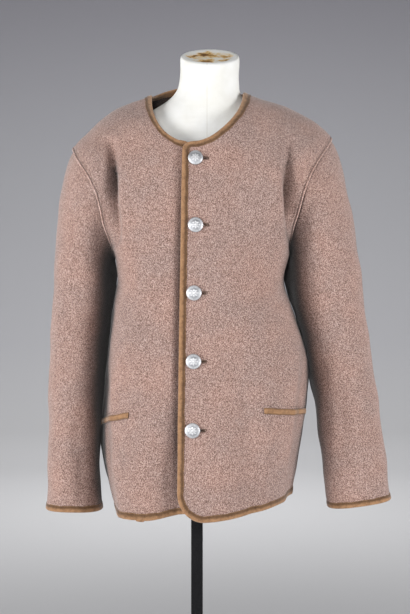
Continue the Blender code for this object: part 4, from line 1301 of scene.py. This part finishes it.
def welt_line(side):
    """Angles and shares along the welt, from its inner end round the side."""
    place, sign = WELTS[side], SIDE_SIGN[side]
    level = np.array([place["z"]])
    first = float(angle_at_x(np.array([place["x"]]), ring_at_z(np.array([-math.pi / 4]), level))[0])
    reach = first + sign * np.linspace(0, WELT_REACH, 801)
    middle = torso_base(reach, ring_at_z(reach, np.full_like(reach, place["z"])))
    length = np.concatenate([[0], np.cumsum(np.linalg.norm(np.diff(middle, axis=0), axis=1))])
    share = np.linspace(0, 1, WELT_COLUMNS + 1)
    return np.interp(share * WELT_LENGTH, length, reach), share


def welt_row(side, angle, share, rise):
    """Points and normals on the cloth along the welt, this far above its middle line."""
    place = WELTS[side]
    surface = lapped if side == "left" else lapped_over
    ring = ring_at_z(angle, place["z"] - place["drop"] * share + rise)
    return surface(angle, ring), normals_of(surface, angle, ring)


def welt(side):
    """A suede welt as a closed section along its line, its stitches, and those above the pocket's mouth."""
    angle, share = welt_line(side)
    sag = sum(size * np.sin(number * share + start) for size, number, start in WELT_SAGS)

    def line(height_share, lift):
        place, up = welt_row(side, angle, share, (height_share - 0.5) * WELT_HEIGHT + sag)
        return place + up * lift, up

    section = np.stack([line(height_share, lift * MM)[0] for height_share, lift in WELT_PROFILE], axis=1)
    stations, ring = section.shape[:2]
    faces = grid_faces(stations, ring, 0, True).tolist()
    faces += [range(ring)[::-1], range((stations - 1) * ring, stations * ring)]
    if side == "right":
        faces = [face[::-1] for face in faces]
    made = add_mesh(f"welt_{side}", section.reshape(-1, 3), faces, [SUEDE])
    # Painted shade at the welt's edges and stitches; elsewhere paler, partly wear and partly a painted
    # highlight
    set_attribute(made, "painted_shade", np.tile(WELT_PAINTED_SHADE_MOST * WELT_PAINTED_SHADE, stations))
    set_attribute(made, "wear_and_highlight", np.tile(WELT_WEAR_AND_HIGHLIGHT_MOST * (1 - WELT_PAINTED_SHADE), stations))
    settle(made, "suede", f"pocket_welt_{side}")
    lines = [line(height_share, WELT_STITCH_HEIGHT) for height_share in WELT_STITCH_SHARES]
    threads = sew(f"welt_{side}", "suede", BROWN_THREAD, lines)
    # Dark stitches above the pocket's mouth, also painted shade of its opening
    above = welt_row(side, angle, share, WELT_HEIGHT / 2 + MOUTH_STITCH_RISE)
    return [made, threads, sew(f"mouth_{side}", "loden", DARK_THREAD_AND_SHADE, [above])]


welts = {side: welt(side) for side in SIDE_SIGN}


# ---- buttons and buttonholes

RELIEF_HEIGHT = 0.35 * MM
RIM_FROM, RIM_TO = 0.80, 0.93
PETALS = 8
BEADS = 36
HOLE_STITCH_PITCH = 0.95 * MM
HOLE_STITCH_LENGTH = 2.3 * MM
HOLE_THREAD_RADIUS = 0.3 * MM
HOLE_STITCH_LIFT = 0.7
HOLE_STITCH_START = 0.2 * MM
END_STITCHES = 5
EYE_STEPS = 15
EYE_OPENING = math.radians(16)
CUTTER_REACH = 8 * MM
LEVEL_STEPS = 2001
# Shares of the radius where the rings start and of those on its under side, rings that the heights are
# evened out over on either side, and rings without relief at the edge
BUTTON_START, UNDER_SHARES = 0.02, (0.97, 0.94, 0.55)
EASING, PLAIN_RINGS = 3, 3
RELIEF_MIDDLE = 0.6


def button_frame(x, z):
    """The place and the outward direction of the lapping front's face under a button."""
    rings = np.linspace(0, 1, LEVEL_STEPS)
    heights = lapped(angle_at_x(np.full_like(rings, x), rings), rings)[:, 2]
    ring = np.interp(z, heights, rings)
    angle = angle_at_x(np.array([x]), np.array([ring]))
    return lapped(angle, np.array([ring]))[0], normals_of(lapped, angle, np.array([ring]))[0]


def upright(facing):
    """Axes at a button: level, up and outward, as the columns of a matrix."""
    out = Vector(facing)
    level = Vector((1, 0, 0))
    level = (level - out * level.dot(out)).normalized()
    return np.array([level[:], out.cross(level)[:], out[:]]).T


def ornament(share, turn):
    """Height, from 0 to 1, of a plain eight-petalled flower inside a beaded ring."""
    petal = np.abs(np.cos(PETALS / 2 * turn))
    reach = 0.24 + 0.38 * petal
    flower = smoothstep((reach - share) / 0.07) * (0.55 + 0.45 * petal)
    vein = np.exp(-(((1 - petal) / 0.02) ** 2)) * smoothstep((share - 0.2) / 0.1)
    heart = smoothstep((0.17 - share) / 0.05)
    moat = smoothstep((share - 0.13) / 0.04) * smoothstep((0.24 - share) / 0.04)
    beads = np.exp(-(((share - 0.74) / 0.035) ** 2)) * (0.55 + 0.45 * np.cos(BEADS * turn))
    rim = smoothstep((share - RIM_FROM) / 0.04) * smoothstep((RIM_TO - share) / 0.05)
    return np.clip(flower - 0.5 * vein - 0.7 * moat + heart + 0.8 * beads + 0.8 * rim, 0, 1)


def button(number, place, axes):
    """A domed disc with low relief and a shank through the buttonhole."""
    shares = np.concatenate([np.linspace(BUTTON_START, 1, BUTTON_RINGS), UNDER_SHARES])
    knots, heights = np.array(BUTTON_PROFILE).T
    rim = knots.argmax()
    top = np.interp(shares[:BUTTON_RINGS], knots[:rim + 1], heights[:rim + 1])
    under = np.interp(shares[BUTTON_RINGS:], knots[:rim - 1:-1], heights[:rim - 1:-1])
    even = np.full(2 * EASING + 1, 1 / (2 * EASING + 1))
    smooth = np.convolve(np.pad(top, EASING, mode="edge"), even, mode="valid")
    level = np.concatenate([smooth, under])
    turn = full_turn(BUTTON_AROUND)
    share_grid, turn_grid = np.meshgrid(shares, turn, indexing="ij")
    raised = ornament(share_grid, turn_grid)
    raised[BUTTON_RINGS - PLAIN_RINGS:] = RELIEF_MIDDLE
    z = level[:, None] + RELIEF_HEIGHT * (raised - RELIEF_MIDDLE)
    grid = polar(share_grid * BUTTON_RADIUS, turn_grid, z + BUTTON_CLEARANCE)
    foot = GAP - LAP_LIFT
    shank = [polar(SHANK_RADIUS, turn, height) for height in (BUTTON_CLEARANCE, foot)]
    grid = np.concatenate([grid, shank])
    count = len(grid) * BUTTON_AROUND
    points = np.concatenate([grid.reshape(-1, 3), [[0, 0, z[0].mean() + BUTTON_CLEARANCE], [0, 0, foot]]])
    faces = grid_faces(len(grid), BUTTON_AROUND, 0, True)[:, ::-1].tolist()
    faces += fan(range(BUTTON_AROUND), count)
    faces += fan(range(count - BUTTON_AROUND, count), count + 1, flip=True)
    made = add_mesh(f"button_{number}_relief", place + points @ axes.T, faces, [METAL], sharp=60)
    plain = np.full(2 * BUTTON_AROUND + 2, RELIEF_MIDDLE)
    set_attribute(made, "hollow", np.append((1 - raised).reshape(-1), plain))
    return settle(made, "button_metal", f"button_{number}")


def hole_outline():
    """Local points and outward directions round the slit, from eye to far end and back."""
    half = SLIT_WIDTH / 2 + HOLE_STITCH_START
    straight = np.arange(0, SLIT_LENGTH, HOLE_STITCH_PITCH)
    ends = np.linspace(-math.pi / 2, math.pi / 2, END_STITCHES + 2)[1:-1]
    below = [((x, -half), (0, -1)) for x in straight]
    far = [((SLIT_LENGTH + half * math.cos(t), half * math.sin(t)), (math.cos(t), math.sin(t))) for t in ends]
    above = [((x, half), (0, 1)) for x in straight[::-1]]
    places, ways = zip(*(below + far + above))
    return np.array(places), np.array(ways)


def buttonhole(number, place, axes):
    outline, ways = hole_outline()
    level, up = axes[:, 0], axes[:, 1]
    inner = place + outline[:, :1] * level + outline[:, 1:] * up
    outer = inner + (ways[:, :1] * level + ways[:, 1:] * up) * HOLE_STITCH_LENGTH
    starts, facing = nearest(trees["left"], inner)
    ends, _ = nearest(trees["left"], outer)
    raise_by = facing * HOLE_THREAD_RADIUS * HOLE_STITCH_LIFT
    lines = (starts + raise_by, ends + raise_by, facing)
    made = stitch_mesh(f"buttonhole_{number}_stitches", *lines, HOLE_THREAD_RADIUS, BROWN_THREAD)
    return settle(made, "loden")


def slit_cutter(places):
    """One mesh of keyhole-shaped prisms, an eye with a slit beside it for each button."""
    points, faces = [], []
    for place, axes in places:
        turns = np.linspace(EYE_OPENING, 2 * math.pi - EYE_OPENING, EYE_STEPS)
        outline = [(EYE_RADIUS * math.cos(t), EYE_RADIUS * math.sin(t)) for t in turns]
        outline += [(SLIT_LENGTH, -SLIT_WIDTH / 2), (SLIT_LENGTH, SLIT_WIDTH / 2)]
        base, count = len(points), len(outline)
        for depth in (CUTTER_REACH, -CUTTER_REACH):
            points += [place + axes @ np.array([x, y, depth]) for x, y in outline]
        faces += [range(base, base + count), range(base + count, base + 2 * count)[::-1]]
        for k in range(count):
            n = (k + 1) % count
            faces.append([base + n, base + k, base + count + k, base + count + n])
    made = add_mesh("slit_cutter", points, faces, [])
    made.hide_render = True
    made.hide_viewport = True
    return made


buttons = []
frames = []
for number, x in enumerate(BUTTON_X, 1):
    place, facing = button_frame(x, BUTTON_Z_FIRST + BUTTON_STEP * (number - 1))
    axes = upright(facing)
    frames.append((place, axes))
    buttons += [button(number, place, axes), buttonhole(number, place, axes)]


def cut_slits(cloth):
    """Cuts the buttonholes and keeps the result as the cloth's own mesh."""
    cutter = slit_cutter(frames)
    cut = cloth.modifiers.new("slits", "BOOLEAN")
    cut.solver = "EXACT"
    cut.object = cutter
    graph = bpy.context.evaluated_depsgraph_get()
    mesh = bpy.data.meshes.new_from_object(cloth.evaluated_get(graph), depsgraph=graph)
    cloth.modifiers.clear()
    cloth.data = mesh
    bpy.data.objects.remove(cutter)


cut_slits(pieces["front_left"])


# ---- dress form

FORM_AROUND = 120
FORM_LAST, FORM_STEP = 15, 0.125
CAP_SHARES = (0.93, 0.86, 0.74, 0.60, 0.45, 0.30, 0.15, 0.04)
CAP_SINK = 2.2 * MM
CAP_FALL = 0.25
# Share of the way out where the pale seam allowance starts, its two waves (size, number) and its blur
RIM_START, RIM_BLUR = 0.80, 0.08
RIM_WAVES = ((0.06, 5), (0.03, 13))
JERSEY_WAVES, JERSEY_SHARE = 1.6, 0.5


def dress_form():
    rings = np.arange(0, FORM_LAST + FORM_STEP / 2, FORM_STEP)
    angle = full_turn(FORM_AROUND)
    loops = []
    for ring in rings:
        row = {name: float(read(FORM, name, ring)) for name in FORM}
        y_mid, deep = (row["y_front"] + row["y_back"]) / 2, (row["y_back"] - row["y_front"]) / 2
        reach = oval(angle, row["wide"], row["wide"], deep, deep, row["square"])
        x, y = reach * np.cos(angle), reach * np.sin(angle)
        slope = math.tan(math.radians(row["tilt"]))
        loops.append(np.stack([row["x"] + x, y_mid + y, row["z"] + y * slope], axis=-1) * MM)
    rim = loops[-1]
    middle = rim.mean(axis=0)
    for share in CAP_SHARES:
        sink = CAP_SINK * smoothstep((1 - share) / CAP_FALL)
        loops.append(middle + (rim - middle) * share - np.array([0, 0, sink]))
    grid = np.array(loops)
    outward = unit(grid - grid.mean(axis=1, keepdims=True))
    grid = grid + outward * (wave_height(grid * JERSEY_WAVES) * JERSEY_SHARE)[..., None]
    count = len(grid) * FORM_AROUND
    points = np.concatenate([grid.reshape(-1, 3), [grid[-1].mean(axis=0), grid[0].mean(axis=0)]])
    faces = grid_faces(len(grid), FORM_AROUND, 0, True).tolist()
    faces += fan(range(count - FORM_AROUND, count), count) + fan(range(FORM_AROUND), count + 1, flip=True)
    made = add_mesh("form_jersey", points, faces, [COTTON, FORM_TOP], sharp=60)
    slots = np.zeros(len(faces), int)
    slots[(len(rings) - 1) * FORM_AROUND:-FORM_AROUND] = 1
    made.data.polygons.foreach_set("material_index", slots)
    values = np.ones(len(points))
    edge = RIM_START + sum(size * np.sin(number * angle) for size, number in RIM_WAVES)
    cap = np.array(CAP_SHARES)[:, None]
    values[len(rings) * FORM_AROUND:-2] = smoothstep((cap - edge) / RIM_BLUR).ravel()
    values[-2] = 0
    set_attribute(made, "rim", values)
    return settle(made, "form_cotton", "dress_form")


form = dress_form()
for node in ("stand_pole", "stand_base", "stand_collar"):
    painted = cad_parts[node]
    painted.data.materials.clear()
    painted.data.materials.append(PAINT)


# ---- sheets

# Cut size of each cloth piece: width, length and area in metres and square metres
CUTS = {
    "front_left": ((0.36, 0.80), 0.222),
    "front_right": ((0.33, 0.80), 0.200),
    "back": ((0.54, 0.80), 0.392),
    "sleeve_left": ((0.45, 0.68), 0.235),
    "sleeve_right": ((0.43, 0.70), 0.220),
}


def bound(*names):
    """Suede strips and their threads."""
    return [strips[name + end] for end in ("", "_threads") for name in names]


ON = {
    "front_left": bound("front_left") + welts["left"] + armholes["left"],
    "front_right": bound("front_right") + welts["right"] + buttons + armholes["right"],
    "back": bound("back_hem", "back_neck"),
    "sleeve_left": bound("cuff_left"),
    "sleeve_right": bound("cuff_right"),
}
for name, (flat, area) in CUTS.items():
    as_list(ON[name])


# ---- studio

# Radii of the floor's inner part, of all of it and of the wall, and the wall's height
STAGE_FLOOR = 2.0
STAGE_FLAT = 5.6
STAGE_WALL = 8.0
STAGE_HEIGHT = 9.0
STAGE_AROUND = 96
STAGE_BENDS = 15


def studio_stage():
    """A pale floor that curves up into a wall all round, its colour darkening with height as painted shade.
    """
    bend = STAGE_WALL - STAGE_FLAT
    profile = [(STAGE_FLOOR, 0.0), (STAGE_FLAT, 0.0)]
    for turn in np.linspace(0, math.pi / 2, STAGE_BENDS)[1:]:
        profile.append((STAGE_FLAT + bend * math.sin(turn), bend * (1 - math.cos(turn))))
    profile.append((STAGE_WALL, STAGE_HEIGHT))
    angle = full_turn(STAGE_AROUND)
    rings = [polar(radius, angle, z) for radius, z in profile]
    points = np.concatenate([*rings, [[0, 0, 0]]])
    faces = grid_faces(len(rings), STAGE_AROUND, 0, True).tolist() + fan(range(STAGE_AROUND), len(points) - 1)
    n = Nodes("stage")
    spot = n.add("TexCoord").outputs["Object"]
    height = n.add("SeparateXYZ", {"Vector": spot}).outputs["Z"]
    n.set(
        # Painted shade: the colour darkens from the floor up the wall, as the light falls off
        Base_Color=n.ramp(
            n.span(height, 0.0, 4.0),
            (0.0, (0.66, 0.66, 0.67)),
            (0.04, (0.56, 0.56, 0.57)),
            (0.20, (0.48, 0.48, 0.50)),
            (0.55, (0.38, 0.38, 0.40)),
            (1.0, (0.25, 0.245, 0.27)),
        ),
        Roughness=0.9,
        Specular_IOR_Level=0.1,
    )
    made = add_mesh("studio_stage", points, faces, [n.material])


CHEST = (0.02, 0.0, 1.15)
# Each light: place, what it points at, width, height and power
LIGHTS = {
    "softbox_left": ((-2.9, -1.6, 1.2), CHEST, 0.9, 1.3, 98),
    "softbox_right": ((2.95, -1.6, 1.2), CHEST, 0.9, 1.3, 84),
    "front_light": ((-0.5, -3.4, 1.8), CHEST, 1.2, 0.9, 43),
    "top_light": ((0.0, -0.7, 3.6), (0, 0, 1.5), 0.8, 0.8, 5),
    "floor_light": ((0.0, 2.9, 3.2), (0, 3.1, 0), 2.6, 0.8, 22),
    "wall_light": ((0.0, 3.2, 3.4), (0, 8.0, 1.6), 3.0, 1.2, 150),
    "rear_left": ((-2.6, 2.4, 1.8), CHEST, 1.2, 1.2, 14),
    "rear_right": ((2.6, 2.4, 1.8), CHEST, 1.2, 1.2, 14),
}

studio_stage()
for name, (place, target, width, height, power) in LIGHTS.items():
    light = bpy.data.lights.new(name, "AREA")
    light.shape = "RECTANGLE"
    light.size, light.size_y = width, height
    light.energy = power
    lamp = bpy.data.objects.new(name, light)
    lamp.location = place
    lamp.rotation_euler = (Vector(target) - Vector(place)).to_track_quat("-Z", "Y").to_euler()
    lamp.visible_camera = False
    bpy.context.scene.collection.objects.link(lamp)

world = bpy.data.worlds.new("studio_air")
world.use_nodes = True
air = world.node_tree.nodes["Background"].inputs
air["Color"].default_value = (0.9, 0.93, 1.0, 1)
air["Strength"].default_value = 0.04
bpy.context.scene.world = world

camera = bpy.data.objects.new("camera", bpy.data.cameras.new("camera"))
camera.data.lens = CAMERA_LENS
camera.data.sensor_width = SENSOR_WIDTH
camera.location = CAMERA_PLACE
camera.rotation_euler = (math.pi / 2, 0, 0)
bpy.context.scene.collection.objects.link(camera)
bpy.context.scene.camera = camera
bpy.context.scene.view_settings.view_transform = "Standard"
